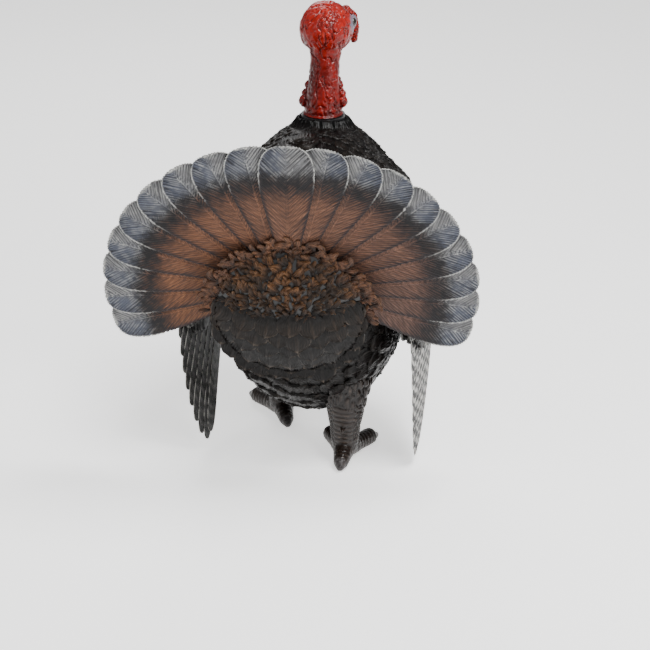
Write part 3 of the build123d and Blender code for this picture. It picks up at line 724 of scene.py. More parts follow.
def neck_ruff():
    """Four rings of narrow feathers round the socket that the neck turns in."""
    rng = np.random.default_rng(77)
    roots, ways = [], []
    for row, ring in enumerate((50, 45, 40.5, 36)):
        number = int(2 * math.pi * ring / 9.0)
        for i in range(number):
            angle = 2 * math.pi * (i + 0.5 * (row % 2)) / number + rng.uniform(-0.04, 0.04)
            reach = (ring + (rng.uniform(-1.5, 1.5) if row < 3 else 0)) * MM
            x, y = math.cos(angle), math.sin(angle)
            roots.append((NECK_AXIS[0] + reach * x, NECK_AXIS[1] + reach * y, 0.47))
            ways.append((x, y - 0.35, -0.2))
    roots, ways = np.array(roots), np.array(ways)
    colour = BROWN_BLACK * rng.uniform(0.8, 1.5, (len(roots), 1))
    size = rng.uniform(0.85, 1.2, len(roots))
    form = [k * MM * size for k in (19, 13, 2.6)] + [colour, (GLINT, 0.4)]
    data = shingles(ruff_surface, roots, ways, *form, 1.8, 78, cols=13, count=2.5, curl=0.25, rough=0.8)
    piece("neck_ruff", *data, PLUMAGE, "body", "body_plumage")


neck_ruff()

# ------------------------------------------------------------------ coverts over the tail's hub


class Dome:
    """The cap of a tail cover, and the plane of the feathers beyond its rim."""

    def __init__(self, radius, rise, middle, base, hand):
        """middle is the centre up the fan, base the rim along the bolt; hand is 1 behind, -1 in front."""
        self.radius, self.rise, self.middle, self.base, self.hand = radius, rise, middle, base, hand

    def __call__(self, p):
        q = p - HUB
        x, v = q @ ACROSS, q @ UP
        ball = (self.radius**2 + self.rise**2) / (2 * self.rise)
        flat = np.sqrt(x**2 + (v - self.middle) ** 2)
        high = np.sqrt(np.maximum(ball**2 - flat**2, 1e-9)) - (ball - self.rise)
        w = self.base + self.hand * np.maximum(high, 0.3 * MM)
        inside = (flat < self.radius)[..., None]
        centre = HUB + self.middle * UP + (self.base + self.hand * (self.rise - ball)) * BACK
        place = fan(x, v, w)
        return place, np.where(inside, unit(place - centre), self.hand * BACK)

    def at(self, spots):
        """Places on the cap from pairs across and up the fan."""
        return self(fan(spots[:, 0], spots[:, 1], np.zeros(len(spots))))[0]


def rear_coverts():
    """The patch of coverts behind the hub: small curly brown ones over broad dark ones."""
    rng = np.random.default_rng(8)
    dome = Dome(100 * MM, 29 * MM, -14 * MM, STACK_BACK, 1)
    parts = []
    # curly rust and brown coverts over the roots of the tail feathers
    roots, ways, sizes = [], [], []
    for row, ring in enumerate(np.arange(5, 108, 5.2)):
        number = max(5, int(2 * math.pi * ring / 7.0))
        for i in range(number):
            angle = 2 * math.pi * (i + 0.5 * (row % 2)) / number + rng.uniform(-0.08, 0.08)
            reach = (ring + rng.uniform(-3, 3)) * MM
            x, v = math.sin(angle) * reach * 1.04, math.cos(angle) * reach - 14 * MM
            if v < -8 * MM - 0.12 * abs(x):
                continue
            spread = angle + rng.uniform(-1.0, 1.0)
            roots.append((x, v))
            ways.append((math.sin(spread), math.cos(spread)))
            sizes.append(rng.uniform(0.75, 1.3))
    roots, ways, sizes = np.array(roots), np.array(ways), np.array(sizes)
    start = dome.at(roots)
    way = ways[:, :1] * ACROSS + ways[:, 1:] * UP
    rust = np.array((0.105, 0.047, 0.019))
    umber = np.array((0.040, 0.022, 0.012))
    dark = np.array((0.009, 0.006, 0.004))
    x, v = roots[:, 0], roots[:, 1]
    far = np.linalg.norm(roots - (0, -14 * MM), axis=1) / (100 * MM)
    patch = cloud(np.stack([x * 55, v * 55, np.zeros_like(x)], -1), 3, 2)
    colour = mix(umber, rust, smooth(-0.25, 0.4, patch + 0.6 * np.exp(-((x / (13 * MM)) ** 2))))
    colour = mix(colour, dark, 0.85 * (1 - smooth(-10 * MM, 22 * MM, v)))
    colour = mix(colour, dark, 0.5 * smooth(0.15, 0.45, -patch))
    corners = smooth(55 * MM, 100 * MM, np.abs(x)) * (1 - smooth(0, 40 * MM, v))
    colour = mix(colour, dark, 0.45 * corners)
    blend = smooth(0.78, 1.0, far)
    colour = mix(colour, (MAUVE + RUST) / 2 * 0.8, 0.7 * blend)
    size = sizes * (0.8 + 0.25 * far)
    ridge = np.exp(-((x / (11 * MM)) ** 2)) * 2.2 * MM
    lift = (3.0 * MM * sizes + ridge) * (1 - 0.6 * blend)
    order = np.argsort(-far)
    form = [array[order] for array in (start, way, 17 * MM * size, 6.6 * MM * size, lift, colour)]
    # the rust edge colour is a painted highlight on the coverts' rims and ridges
    tips = (np.array((0.26, 0.14, 0.065)), 0.6)
    parts.append(shingles(dome, *form, tips, 1.5, 31, count=1.3, curl=0.9, rough=1.6))
    # broad dark under-tail coverts below
    roots, sizes = [], []
    for row, drop in enumerate((2, -19, -40, -61, -81, -100)):
        span = math.sqrt(max(100.0**2 - (drop + 14) ** 2, 36**2)) * 0.98
        number = max(3, int(2 * span / 25.0)) + row % 2
        for i in range(number):
            x = (-span + 2 * span * (i + 0.5) / number + rng.uniform(-2.5, 2.5)) * MM
            roots.append((x, (drop + 0.0010 * (x / MM) ** 2 + rng.uniform(-3, 3)) * MM))
            sizes.append(rng.uniform(0.88, 1.12))
    roots, sizes = np.array(roots), np.array(sizes)
    start = dome.at(roots)
    way = (roots[:, :1] * 5.5) * ACROSS - UP
    brown = smooth(-40 * MM, 0 * MM, roots[:, 1])
    colour = mix(np.tile(BROWN_BLACK * 1.1, (len(roots), 1)), np.array((0.013, 0.008, 0.005)), brown)
    # the pale edge colour is a painted highlight on the coverts' rims and ridges
    form = [k * MM * sizes for k in (37, 37, 10)] + [colour, (np.array((0.13, 0.10, 0.078)), 0.85)]
    parts.append(shingles(dome, start, way, *form, 2.8, 41, rows=20, cols=33, count=5.0, rough=0.8))
    piece("under_tail_coverts", *joined(parts), COVERT, "tail_fan", "covert_plumage")


rear_coverts()


def front_coverts():
    """Small dark coverts over the half panel on the bird's side of the fan."""
    rng = np.random.default_rng(9)
    dome = Dome(66 * MM, 14 * MM, 8 * MM, -1.9 * MM, -1)
    roots = []
    for row, rise in enumerate(range(64, 8, -8)):
        span = math.sqrt(66.0**2 - (rise - 8) ** 2) * 0.97
        number = max(3, int(2 * span / 11.0)) + row % 2
        for i in range(number):
            x = -span + 2 * span * (i + 0.5) / number + rng.uniform(-1.5, 1.5)
            if math.hypot(x, rise) > 26 and rise > 12:
                roots.append((x * MM, (rise + rng.uniform(-1.5, 1.5)) * MM))
    roots = np.array(roots)
    start = dome.at(roots)
    way = (roots[:, :1] * 9) * ACROSS + UP
    size = rng.uniform(0.9, 1.15, len(roots))
    colour = BROWN_BLACK * rng.uniform(1.0, 1.8, (len(roots), 1))
    # the pale edge colour is a painted highlight on the coverts' rims and ridges
    form = [k * MM * size for k in (19, 16, 1.8)] + [colour, (np.array((0.085, 0.065, 0.05)), 0.5)]
    data = shingles(dome, start, way, *form, 0.9, 43, cols=15, count=3.5)
    piece("upper_tail_coverts", *data, COVERT, "tail_fan", "body_plumage")


front_coverts()

# ------------------------------------------------------------------ fused soft forms: head, neck and legs


def capsule(p, q, r, s):
    """Balls along a line from p to q, of radius r at p and s at q."""
    p, q = np.array(p, float), np.array(q, float)
    steps = max(2, int(np.linalg.norm(q - p) / (0.3 * min(r, s))) + 1)
    return [((p + (q - p) * t), np.full(3, r + (s - r) * t)) for t in np.linspace(0, 1, steps)]


def chain(knots):
    """Balls along a bent line, from its corners as places and radii."""
    balls = []
    for (p, r), (q, s) in zip(knots[:-1], knots[1:]):
        balls += capsule(p, q, r, s)
    return balls


def fuse(shapes, voxel):
    """One skin round many ellipsoids given in millimetres: vertices, quads and normals in metres."""
    ball = bpy.data.meshes.new("ball")
    sphere = bmesh.new()
    bmesh.ops.create_icosphere(sphere, subdivisions=3, radius=1.0)
    sphere.to_mesh(ball)
    sphere.free()
    unit_v = np.zeros(len(ball.vertices) * 3)
    ball.vertices.foreach_get("co", unit_v)
    unit_v = unit_v.reshape(-1, 3)
    unit_f = np.array([list(f.vertices) for f in ball.polygons])
    verts = np.concatenate([unit_v * r + c for c, r in shapes]) * MM
    faces = np.concatenate([unit_f + i * len(unit_v) for i in range(len(shapes))])
    mesh = bpy.data.meshes.new("fused")
    mesh.from_pydata(verts.tolist(), [], faces.tolist())
    obj = bpy.data.objects.new("fused", mesh)
    bpy.context.scene.collection.objects.link(obj)
    remesh = obj.modifiers.new("remesh", "REMESH")
    remesh.mode, remesh.voxel_size = "VOXEL", voxel * MM
    soften = obj.modifiers.new("soften", "SMOOTH")
    soften.iterations, soften.factor = 5, 0.5
    done = obj.evaluated_get(bpy.context.evaluated_depsgraph_get()).to_mesh()
    v = np.zeros(len(done.vertices) * 3)
    done.vertices.foreach_get("co", v)
    n = np.zeros(len(done.vertices) * 3)
    done.vertices.foreach_get("normal", n)
    quads = np.array([list(f.vertices) for f in done.polygons if len(f.vertices) == 4])
    bpy.data.objects.remove(obj)
    bpy.data.meshes.remove(mesh)
    bpy.data.meshes.remove(ball)
    return v.reshape(-1, 3), quads, n.reshape(-1, 3)


RED = np.array((0.27, 0.0075, 0.004))
SHADE_AND_DARK_RED = np.array((0.020, 0.0016, 0.0014))
LUMP_HIGHLIGHT = np.array((0.38, 0.036, 0.010))
PALE_SKIN = np.array((0.13, 0.13, 0.17))
LOOK = math.radians(-14)  # the head's turn to the bird's right
NECK_FOOT = 0.4775  # height of the neck's lower edge, clear of its socket


def in_head(points):
    """From the head's turned frame, in millimetres from its centre, to the row frame."""
    points = np.atleast_2d(np.array(points, float))
    x = points[:, 0] * math.cos(LOOK) - points[:, 1] * math.sin(LOOK)
    y = points[:, 0] * math.sin(LOOK) + points[:, 1] * math.cos(LOOK)
    return np.stack([x, y + 134 + SHIFT, points[:, 2] + 596], -1)


def fleshy(name, shapes, voxel, size, depth, node, stretch=(1, 1, 1), floor=None, eyes=None, pebbly=1.0):
    """Lumpy red skin with painted shade in its creases and painted highlights on its lumps; pebbly is the share of
    small lumps, not broad folds.
    """
    v, faces, n = fuse(shapes, voxel)
    p = v / (size * MM) / np.array(stretch)
    p = p + 0.35 * np.stack([cloud(p * 0.9, 2, s) for s in (11, 12, 13)], -1)
    near, second = cells(p, 7)
    crease = smooth(0.02, 0.32, second - near)
    small, small2 = cells(v / (size * 0.42 * MM), 17)
    pebbles = smooth(0.02, 0.3, small2 - small)
    q = v / (size * 1.1 * MM) / np.array(stretch)
    swell = cloud(q * 0.6, 2, 41)
    valley = smooth(0.74, 1.0, 1 - 2.2 * np.abs(cloud(q + 0.5 * swell[:, None], 3, 23)))
    lumps = 1.1 * crease * (1 - 0.5 * near) + 0.3 * pebbles - 0.8
    high = depth * (pebbly * lumps + (1 - pebbly) * (1.3 * swell - 1.1 * valley))
    if floor is not None:
        above = smooth(0, 6 * MM, v[:, 2] - floor)
        high = high * above - 0.4 * (1 - above)
    moved = v + n * (high * MM)[:, None]
    if floor is not None:
        moved[:, 2] = np.maximum(moved[:, 2], floor)
    open_skin = pebbly * crease * (0.6 + 0.4 * pebbles) + (1 - pebbly) * (0.8 + 0.2 * crease)
    # painted shade in the creases and along the broad folds' valleys
    tint = mix(SHADE_AND_DARK_RED, RED, np.clip(0.22 + 0.78 * open_skin, 0, 1))
    tint = mix(tint, SHADE_AND_DARK_RED * 1.5, (1 - pebbly) * 0.75 * valley)
    # painted highlight in orange on the tops of the lumps
    highlight = 0.45 * smooth(0.6, 1.0, crease * (1 - near))
    tint = mix(tint, LUMP_HIGHLIGHT, highlight * smooth(-0.3, 0.5, cloud(v * 90, 2, 3)))
    tint = mix(tint, SHADE_AND_DARK_RED * 2.2, 0.55 * smooth(0.0, 0.6, cloud(v * 38, 3, 31)))
    if eyes is not None:
        low = 1 - smooth(0.545, 0.585, v[:, 2] + 6 * MM * cloud(v * 60, 2, 9))
        tint = mix(tint, RED * 0.5, 0.6 * low)
        tint = mix(tint, SHADE_AND_DARK_RED * 2.0, 0.75 * low * smooth(-0.3, 0.3, cloud(v * (70, 70, 16), 3, 19)))
        for eye in eyes:
            d = np.linalg.norm(v - eye, axis=1)
            ragged = d + 3 * MM * cloud(v * 120, 2, 5)
            tint = mix(tint, PALE_SKIN, 0.85 * (1 - smooth(10 * MM, 19 * MM, ragged)))
            moved = moved - n * (high * MM * 0.8 * (1 - smooth(8 * MM, 12 * MM, d)))[:, None]
    return piece(name, moved, faces, tint, np.zeros(len(v)), SKIN, "head_and_neck", "red_skin", node)


def head_and_neck():
    """The skin of the head and neck in one form, then the snood, the dewlap and the caruncles."""
    sections = [(105, 477, 31), (107, 502, 26.5), (111, 529, 23.2), (117, 554, 23), (123, 576, 27)]
    shapes = chain([((0, y + SHIFT, z), r - 1.0) for y, z, r in sections])
    shapes = [(c, np.minimum(r, (99, 99, max(6.0, c[2] - 470)))) for c, r in shapes]
    for q, r in (((0, 6, 0), 37.5), ((0, -6, 1), 38.5), ((0, 14, -4), 31.0), ((0, 0, 3), 38.0)):
        shapes.append((in_head(q)[0], np.full(3, r)))
    eyes = in_head([(33.5, 20, 8), (-33.5, 20, 8)])
    for side in (1, -1):
        for i in range(14):
            a = 2 * math.pi * i / 14
            ring = in_head((side * 32.0, 20 + 9.2 * math.cos(a), 8 + 8.2 * math.sin(a)))[0]
            shapes.append((ring, np.full(3, 3.0)))
    fleshy("head_and_neck_skin", shapes, 1.05, 12.0, 2.4, ["neck", "head_shell"],
           stretch=(1, 1, 1.6), floor=NECK_FOOT, eyes=eyes * MM, pebbly=0.28)
    drape = [
        ((2, 40, 16), 6.5), ((8, 53, 17), 5.5), ((17, 60, 6), 5.5),
        ((20, 60, -12), 6.0), ((19, 58, -30), 5.0),
    ]
    fleshy("snood_skin", chain([(in_head(p)[0], r) for p, r in drape]), 0.7, 5.0, 0.9, ["snood"])
    hang = []
    for dz in np.linspace(-19, 19, 9):
        hang.append((in_head((0, 24, -44 + dz))[0], np.array((7.5, 14.0 - abs(dz) * 0.25, 12.0))))
    fleshy("dewlap_skin", hang, 0.8, 6.0, 1.1, ["dewlap"], stretch=(1, 1, 1.8))
    knobs = []
    rng = np.random.default_rng(3)
    # each ring of caruncles: height, number, half angle, distance from the neck's middle and size
    rings = (
        (494, 9, 86, 27.0, 9.0), (505, 8, 80, 25.5, 8.0),
        (516, 8, 76, 23.0, 7.2), (526, 6, 62, 20.5, 6.2),
    )
    for z, number, spread, reach, r in rings:
        for i in range(number):
            a = math.radians(-spread + 2 * spread * i / (number - 1) + rng.uniform(-3, 3))
            place = (reach * math.sin(a), 108 + SHIFT + reach * math.cos(a), z + rng.uniform(-2, 2))
            knobs.append((np.array(place), np.full(3, r * rng.uniform(0.8, 1.15))))
    fleshy("caruncle_skin", knobs, 0.8, 6.5, 1.0, ["caruncles"], floor=NECK_FOOT)


head_and_neck()


def leg(side, x, y, turn):
    """A leg at x and y, its toes turned by an angle; the lists give places on the straight leg and radii."""
    c, s = math.cos(math.radians(turn)), math.sin(math.radians(turn))

    def place(q):
        return np.array((q[0] * c - q[1] * s + x, q[0] * s + q[1] * c + y, q[2]))

    column = [((0, 13, 128), 40), ((0, 10, 112), 36), ((0, 4, 82), 28.5), ((0, 0, 56), 23), ((0, 0, 24), 20)]
    middle = [((0, 0, 16), 16), ((0, 32, 13), 12), ((0, 60, 11), 11.5), ((0, 70, 9), 8.5), ((0, 84, 6), 4)]
    lines = [column, middle]
    for out in (-1, 1):
        lines.append([
            ((out * 4, 2, 16), 15), ((out * 16, 26, 13), 12), ((out * 28, 50, 12), 12.5),
            ((out * 31, 58, 9), 8.5), ((out * 36, 69, 6), 4.5),
        ])
    lines.append([((0, -4, 18), 17), ((0, -24, 14), 13), ((0, -36, 11), 11.5), ((0, -49, 7), 5.5)])
    shapes = []
    for line in lines:
        shapes += chain([(place(p), r) for p, r in line])
    shapes += capsule(place((0, -18, 60)), place((0, -30, 55)), 5.0, 2.4)
    v, faces, n = fuse(shapes, 1.3)
    q = v / MM
    lx = (q[:, 0] - x) * c + (q[:, 1] - y) * s
    ly = -(q[:, 0] - x) * s + (q[:, 1] - y) * c
    lz = q[:, 2]
    away = np.hypot(lx, ly)
    wobble = 1.2 * cloud(v * 60, 2, 2)
    shank = smooth(26, 34, lz) * (1 - smooth(84, 96, lz))
    scute = np.abs(np.sin(np.pi * (lz + wobble + 0.06 * lx) / 7.5)) ** 0.6
    sides = smooth(0.45, 0.8, np.abs(lx) / np.maximum(away, 1e-6))
    f1, f2 = cells(v / (4.6 * MM), 5)
    scales = smooth(0.04, 0.3, f2 - f1)
    foot = 1 - smooth(26, 34, lz)
    rings = np.abs(np.sin(np.pi * (away + wobble) / 6.5)) ** 0.6
    p = v / (np.array((6.5, 6.5, 17.0)) * MM)
    g1, g2 = cells(p + 0.4 * np.stack([cloud(v * 40, 2, s) for s in (1, 2, 3)], -1), 9)
    tufts = smooth(0.03, 0.35, g2 - g1) * (1 - 0.4 * g1)
    thigh = smooth(84, 96, lz)
    skin = shank * (scute * (1 - sides) + scales * sides) + foot * (0.65 * rings + 0.35 * scales)
    relief = skin + thigh * tufts
    depth = 1.5 * shank + 1.3 * foot + 2.6 * thigh
    moved = v + n * ((relief - 0.75) * depth * MM)[:, None]
    moved[:, 2] = np.maximum(moved[:, 2], 0.15 * MM)
    base = np.array((0.013, 0.008, 0.006))
    # painted shade in the grooves between the scales and painted highlight on their tops
    tint = mix(base * 0.3, base * 1.3, relief)
    claw = smooth(60, 66, away) * foot * (1 - smooth(9, 12, lz))
    claw = claw + smooth(40, 46, away) * foot * smooth(0, -20, ly)
    tint = mix(tint, np.array((0.05, 0.045, 0.045)), np.clip(claw, 0, 1) * 0.7)
    in_patches = 0.30 * smooth(0.8, 1.0, relief) * smooth(-0.1, 0.5, cloud(v * 110, 2, 8))
    tint = mix(tint, np.array((0.16, 0.115, 0.085)), in_patches)
    piece(f"leg_skin_{side}", moved, faces, tint, relief, SCALE, "body", "leg_scales", [f"leg_{side}"])


leg("right", 60, -50 + SHIFT, 0)
leg("left", -56, 76 + SHIFT, 20)


def beard():
    """Bristles from the ferrule on the breast, hanging to uneven lengths."""
    rng = np.random.default_rng(4)
    strands, steps, sides = 260, 14, 4
    t = np.linspace(0, 1, steps)[None, :]
    a = rng.uniform(0, 2 * math.pi, (strands, 1))
    q = np.sqrt(rng.uniform(0, 1, (strands, 1)))
    drop = rng.uniform(0.72, 1.0, (strands, 1)) * 153
    bulge = np.sin(np.pi * np.clip(t * 0.9 + 0.1, 0, 1)) ** 0.6
    x = q * np.cos(a) * (3.2 + 5.0 * bulge) * (1 - 0.35 * t) + rng.uniform(-1, 1, (strands, 1)) * t**2 * 2.5
    y = 219 + SHIFT + q * np.sin(a) * (3.0 + 3.0 * bulge) * (1 - 0.3 * t) - 2.0 * t
    z = 318 + q * np.sin(a) * 2.5 - drop * t
    y = y - 7 * (1 - smooth(0, 0.06, t))
    thick = np.broadcast_to(0.55 * (1 - 0.75 * t), x.shape)
    centre = np.stack([x, y, z], -1)[:, :, None, :]
    ring = np.linspace(0, 2 * math.pi, sides, endpoint=False)
    circle = np.stack([np.cos(ring), np.sin(ring), np.zeros(sides)], -1)
    offset = circle[None, None] * thick[..., None, None]
    verts = (centre + offset).reshape(strands, -1, 3) * MM
    i = np.arange(steps - 1)[:, None] * sides
    j = np.arange(sides)[None, :]
    k = (j + 1) % sides
    quads = np.stack([i + j, i + k, i + sides + k, i + sides + j], -1).reshape(-1, 4)
    caps = np.array([[0, 1, 2, 3], [(steps - 1) * sides + s for s in (3, 2, 1, 0)]])
    quads = np.concatenate([quads, caps])
    faces = (quads[None] + (np.arange(strands) * steps * sides)[:, None, None]).reshape(-1, 4)
    shade = np.repeat(rng.uniform(0.5, 1.7, strands), steps * sides)[:, None]
    verts, tint = verts.reshape(-1, 3), np.array((0.007, 0.006, 0.0055)) * shade
    piece("beard_bristles", verts, faces, tint, 0.0, BRISTLE, "body", "beard_bristle", ["beard"])


beard()

# ------------------------------------------------------------------ wings

SOOT = np.array((0.0050, 0.0045, 0.0042))
BAR = np.array((0.66, 0.64, 0.60))
# the wing's outline on the body's plan, as distance forward and height
WING_EDGE = [
    (108, 330), (70, 362), (20, 374), (-26, 362), (-64, 328), (-76, 280), (-80, 210), (-80, 130), (-78, 70),
    (-72, 30), (-60, 14), (-44, 22), (-20, 50), (24, 100), (60, 150), (92, 225), (112, 280),
]
# turn towards the back, outermost x and its z, curve radius, for the right and the left
WING_FORM = {1: (math.radians(5), 180, 0, 2500), -1: (math.radians(-9), 163, 225, 900)}


def wing_x(hand, y, z):
    """Outer face of a wing: distance from the middle plane, all in millimetres and on the body's plan."""
    turn, bulge_x, bulge_z, curve = WING_FORM[hand]
    fall = np.sqrt(curve**2 - (z - bulge_z) ** 2) - curve
    return bulge_x + fall / math.cos(turn) + (y - 35) * math.tan(turn)


class Plate:
    """One face of a wing; hand is 1 on the right and -1 on the left, face is 1 outside and -1 inside."""

    def __init__(self, hand, face):
        self.hand, self.face = hand, face

    def __call__(self, p):
        turn, bulge_x, bulge_z, curve = WING_FORM[self.hand]
        y, z = p[..., 1], p[..., 2]
        x = wing_x(self.hand, y / MM - SHIFT, z / MM) * MM - (0 if self.face > 0 else 10 * MM)
        slope = (z / MM - bulge_z) / curve
        normal = unit(np.stack([np.ones_like(x), np.full_like(x, -math.tan(turn)), slope], -1)) * self.face
        return np.stack([x * self.hand, y, z], -1), normal * (self.hand, 1, 1)


def inside(points, polygon):
    """Whether each point lies in the polygon."""
    x, y = points[:, 0], points[:, 1]
    hit = np.zeros(len(points), bool)
    for (x0, y0), (x1, y1) in zip(polygon, polygon[1:] + polygon[:1]):
        if y0 != y1:
            hit ^= ((y0 > y) != (y1 > y)) & (x < (x1 - x0) * (y - y0) / (y1 - y0) + x0)
    return hit


def wing_flights(hand):
    """Barred primaries and secondaries, each a curved blade in its own layer."""
    side = "right" if hand > 0 else "left"
    tips = [
        (-42, 21), (-58, 16), (-69, 30), (-75, 52), (-78, 78), (-80, 104), (-81, 131),
        (-81, 158), (-81, 186), (-80, 214), (-79, 240), (-77, 266), (-73, 290),
    ]
    roots = [(112 - 9.4 * i, 264 + 7.2 * i) for i in range(len(tips))]
    rows, cols, end = 110, 19, 26
    parts = []
    for j, (root, tip) in enumerate(zip(roots, tips)):
        root, tip = np.array(root) * MM, np.array(tip) * MM
        length = np.linalg.norm(tip - root)
        way = (tip - root) / length
        across = np.array((way[1], -way[0]))
        turn = np.linspace(0, math.pi / 2, end)
        a = np.concatenate([np.linspace(0, 0.84, rows - end, endpoint=False), 0.84 + 0.16 * np.sin(turn)])
        half = (14.5 + 0.25 * j) * MM
        w = np.concatenate([0.5 + 0.5 * smooth(0, 0.4, a[: rows - end]), np.cos(turn) ** 0.75]) * half
        c = np.linspace(-1, 1, cols)
        aa, cc = np.meshgrid(a, c, indexing="ij")
        x = cc * w[:, None]
        r = aa * length
        bow = (-13 + 1.7 * j) * MM * np.sin(np.pi * aa)
        flat = root + way * r[..., None] + across * (x + bow)[..., None]

        def broken(scale, layer, seed):
            return cloud(np.stack([r * scale, x * scale, np.full_like(r, layer)], -1), 2, seed)

        phase = (r - 1.1 * np.abs(x)) / (4.6 * MM) + 0.3 * broken(60, j, 3)
        wave = 0.5 + 0.5 * np.cos(2 * np.pi * phase)
        shaft = 1 - smooth(0.5, 1.0, np.abs(x) / (1.5 * MM * (1 - 0.6 * aa)))
        relief = np.clip(0.25 + 0.55 * wave + 0.7 * shaft - 0.2 * np.abs(cc) ** 3, 0, 1)
        out = (-9.1 + 0.62 * j) * MM
        y, z = flat[..., 0], np.maximum(flat[..., 1], 13 * MM)
        face_x = wing_x(hand, y / MM, z / MM) * MM + out
        outer = np.stack([(face_x + (0.75 + 0.45 * relief) * MM) * hand, y + SHIFT * MM, z], -1)
        inner = np.stack([(face_x + 0.35 * MM * (1 - relief)) * hand, y + SHIFT * MM, z], -1)
        faces = slab_faces(rows, cols)
        if hand > 0:
            faces = faces[:, ::-1]
        bars = np.sin(2 * np.pi * (r + 0.55 * np.abs(x)) / (15.5 * MM) + 0.8 * broken(90, j, 6))
        in_patches = smooth(-0.55, 0.25, broken(260, 3 * j, 7))
        white = smooth(-0.15, 0.35, bars) * in_patches * (1 - 0.5 * shaft) * smooth(0.03, 0.3, aa)
        # painted shade in the barbs' grooves and painted highlight on their ridges
        tint = mix(SOOT, BAR, np.clip(white, 0, 1)) * (0.45 + 0.65 * relief[..., None])
        rim = smooth(0.84, 0.98, np.abs(cc)) * smooth(0.3, 0.6, aa)
        tint = mix(tint, BAR * 1.15, 0.75 * rim * in_patches)
        # the inner face, towards the body, is painted darker, with its bars faint: painted shade
        dark = mix(SOOT * 0.9, BAR * 0.5, 0.22 * white) * (0.4 + 0.7 * relief[..., None])
        dark = mix(dark, BAR, 0.6 * rim * in_patches)
        parts.append((
            np.concatenate([outer.reshape(-1, 3), inner.reshape(-1, 3)]), faces,
            np.concatenate([tint.reshape(-1, 3), dark.reshape(-1, 3)]), np.tile(phase.ravel(), 2),
        ))
    nodes = [f"wing_flights_{side}"]
    piece(f"flight_feathers_{side}", *joined(parts), WING, f"wing_{side}", "wing_plumage", nodes)


def wing_coverts(hand):
    """Rows of rounded coverts over both faces of the upper wing."""
    side = "right" if hand > 0 else "left"
    rng = np.random.default_rng(14)
    parts = []
    for face in (1, -1):
        marks, sizes = [], []
        for row in range(19):
            for i in range(19):
                along = -16 + row * 13.0 + rng.uniform(-1.2, 1.2)
                over = -72 + (i + 0.5 * (row % 2)) * 14.0 + rng.uniform(-1.2, 1.2)
                marks.append((116 - over * 0.80 - along * 0.42, 372 - along * 0.90 + over * 0.12))
                sizes.append(0.85 + 0.045 * row)
        marks, sizes = np.array(marks), np.array(sizes)
        # as far as a little past the outline, down to the flight feathers and, inside, short of the hinge
        keep = inside(marks, [((y - 21) * 1.04 + 21, (z - 200) * 1.015 + 200) for y, z in WING_EDGE])
        lowest = np.interp(marks[:, 0], (-90, -45, -5, 36, 84, 150), (242, 222, 192, 206, 250, 318))
        keep &= marks[:, 1] > lowest
        if face < 0:
            keep &= ~((np.abs(marks[:, 0] - 35) < 46) & (marks[:, 1] > 332))
        marks, sizes = marks[keep], sizes[keep]
        order = np.argsort(marks[:, 1])
        marks, sizes = marks[order], sizes[order]
        root = np.stack([np.full(len(marks), 160.0 * hand), marks[:, 0] + SHIFT, marks[:, 1]], -1) * MM
        rear = 1 - smooth(-24, 66, marks[:, 0])
        way = np.stack([np.zeros_like(rear), -0.42 - 0.35 * rear, -0.9 + 0.25 * rear], -1)
        colour = SOOT * (0.8 + 0.5 * rng.uniform(0, 1, (len(marks), 1)))
        lift, amount = (2.4, 0.95) if face > 0 else (1.6, 0.35)
        form = [k * MM * sizes for k in (25, 18, lift)] + [colour, (BAR, amount)]
        verts, faces, *paints = shingles(Plate(hand, face), root, way, *form, 0.9, 50 + face, closed=True)
        if face * hand < 0:
            faces = faces[:, ::-1]
        parts.append((verts, faces, *paints))
    piece(f"covert_feathers_{side}", *joined(parts), WING, f"wing_{side}", "wing_plumage")


for hand in (1, -1):
    wing_flights(hand)
    wing_coverts(hand)

# ------------------------------------------------------------------ stage, light and camera


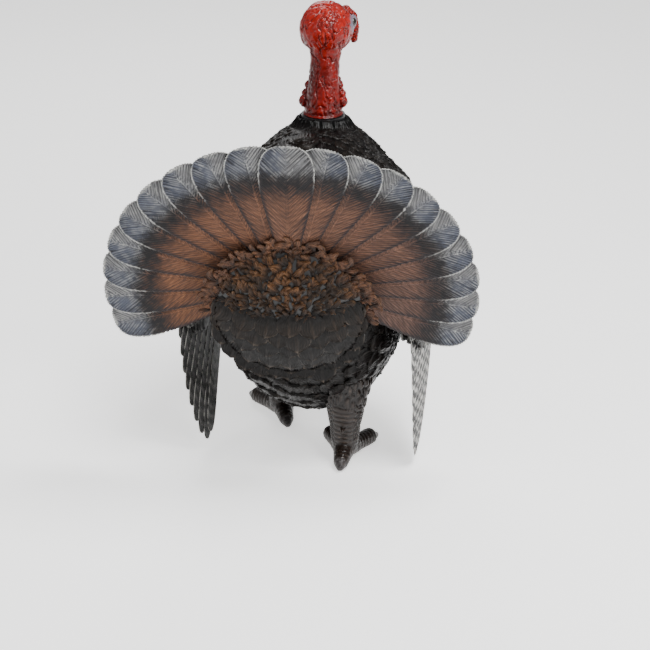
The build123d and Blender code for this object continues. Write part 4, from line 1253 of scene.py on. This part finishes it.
def stage():
    """A pale floor, an even sky and four soft lamps."""
    size = 6.0
    mesh = bpy.data.meshes.new("floor")
    corners = [(-size, -size, 0), (size, -size, 0), (size, size, 0), (-size, size, 0)]
    mesh.from_pydata(corners, [], [(0, 1, 2, 3)])
    floor = bpy.data.objects.new("floor", mesh)
    bpy.context.scene.collection.objects.link(floor)
    m = bpy.data.materials.new("floor")
    m.use_nodes = True
    shader = m.node_tree.nodes["Principled BSDF"]
    shader.inputs["Base Color"].default_value = (0.92, 0.92, 0.92, 1)
    shader.inputs["Roughness"].default_value = 0.6
    shader.inputs["Emission Color"].default_value = (1.0, 0.995, 0.985, 1)
    shader.inputs["Emission Strength"].default_value = 1.0
    mesh.materials.append(m)
    world = bpy.data.worlds.new("world")
    bpy.context.scene.world = world
    world.use_nodes = True
    sky = world.node_tree.nodes["Background"]
    sky.inputs["Color"].default_value = (1, 1, 1, 1)
    sky.inputs["Strength"].default_value = 0.40
    # each lamp: place, aim, power and width
    lights = [
        ((0.75, -0.35, 2.1), (0, -0.05, 0.3), 62.0, 0.9),
        ((1.9, -1.9, 1.3), (0, 0, 0.3), 30.0, 0.7),
        ((-1.9, -1.3, 1.5), (0, 0, 0.35), 12.0, 0.9),
        ((-0.6, 1.9, 1.6), (0, 0, 0.4), 14.0, 0.9),
    ]
    for i, (place, aim, watts, width) in enumerate(lights):
        light = bpy.data.lights.new(f"light_{i}", "AREA")
        light.energy, light.size = watts, width
        lamp = bpy.data.objects.new(f"light_{i}", light)
        lamp.location = place
        lamp.rotation_euler = (Vector(aim) - Vector(place)).to_track_quat("-Z", "Y").to_euler()
        bpy.context.scene.collection.objects.link(lamp)


def camera():
    """The view from behind and above, with the tail's hub left of and above the picture's middle."""
    azimuth, elevation, distance = math.radians(10.0), math.radians(22.0), 3.2
    level = math.cos(elevation)
    ahead = Vector((-math.sin(azimuth) * level, math.cos(azimuth) * level, -math.sin(elevation)))
    target = Vector((0, (SHIFT - 190) * MM, 0.360))
    data = bpy.data.cameras.new("camera")
    cam = bpy.data.objects.new("camera", data)
    bpy.context.scene.collection.objects.link(cam)
    cam.location = target - ahead * distance
    cam.rotation_euler = ahead.to_track_quat("-Z", "Y").to_euler()
    data.sensor_width = 36.0
    data.lens = 130.264615
    data.shift_x, data.shift_y = 0.05692308, -0.09692308
    bpy.context.scene.camera = cam


stage()
camera()

FINISH = {
    "black_moulding": BLACK, "zinc_screws": ZINC, "eye_gloss": EYE, "beak_horn": HORN,
    "body_plumage": BLACK, "covert_plumage": BLACK, "wing_plumage": BLACK, "tail_vane": BLACK,
}
slots = {s["node"]: s["material_slot"] for s in frame["record"]["subparts"]}
for node, obj in frame["nodes"].items():
    finish = FINISH.get(slots[node])
    if finish is not None:
        obj.data.materials.clear()
        obj.data.materials.append(finish)
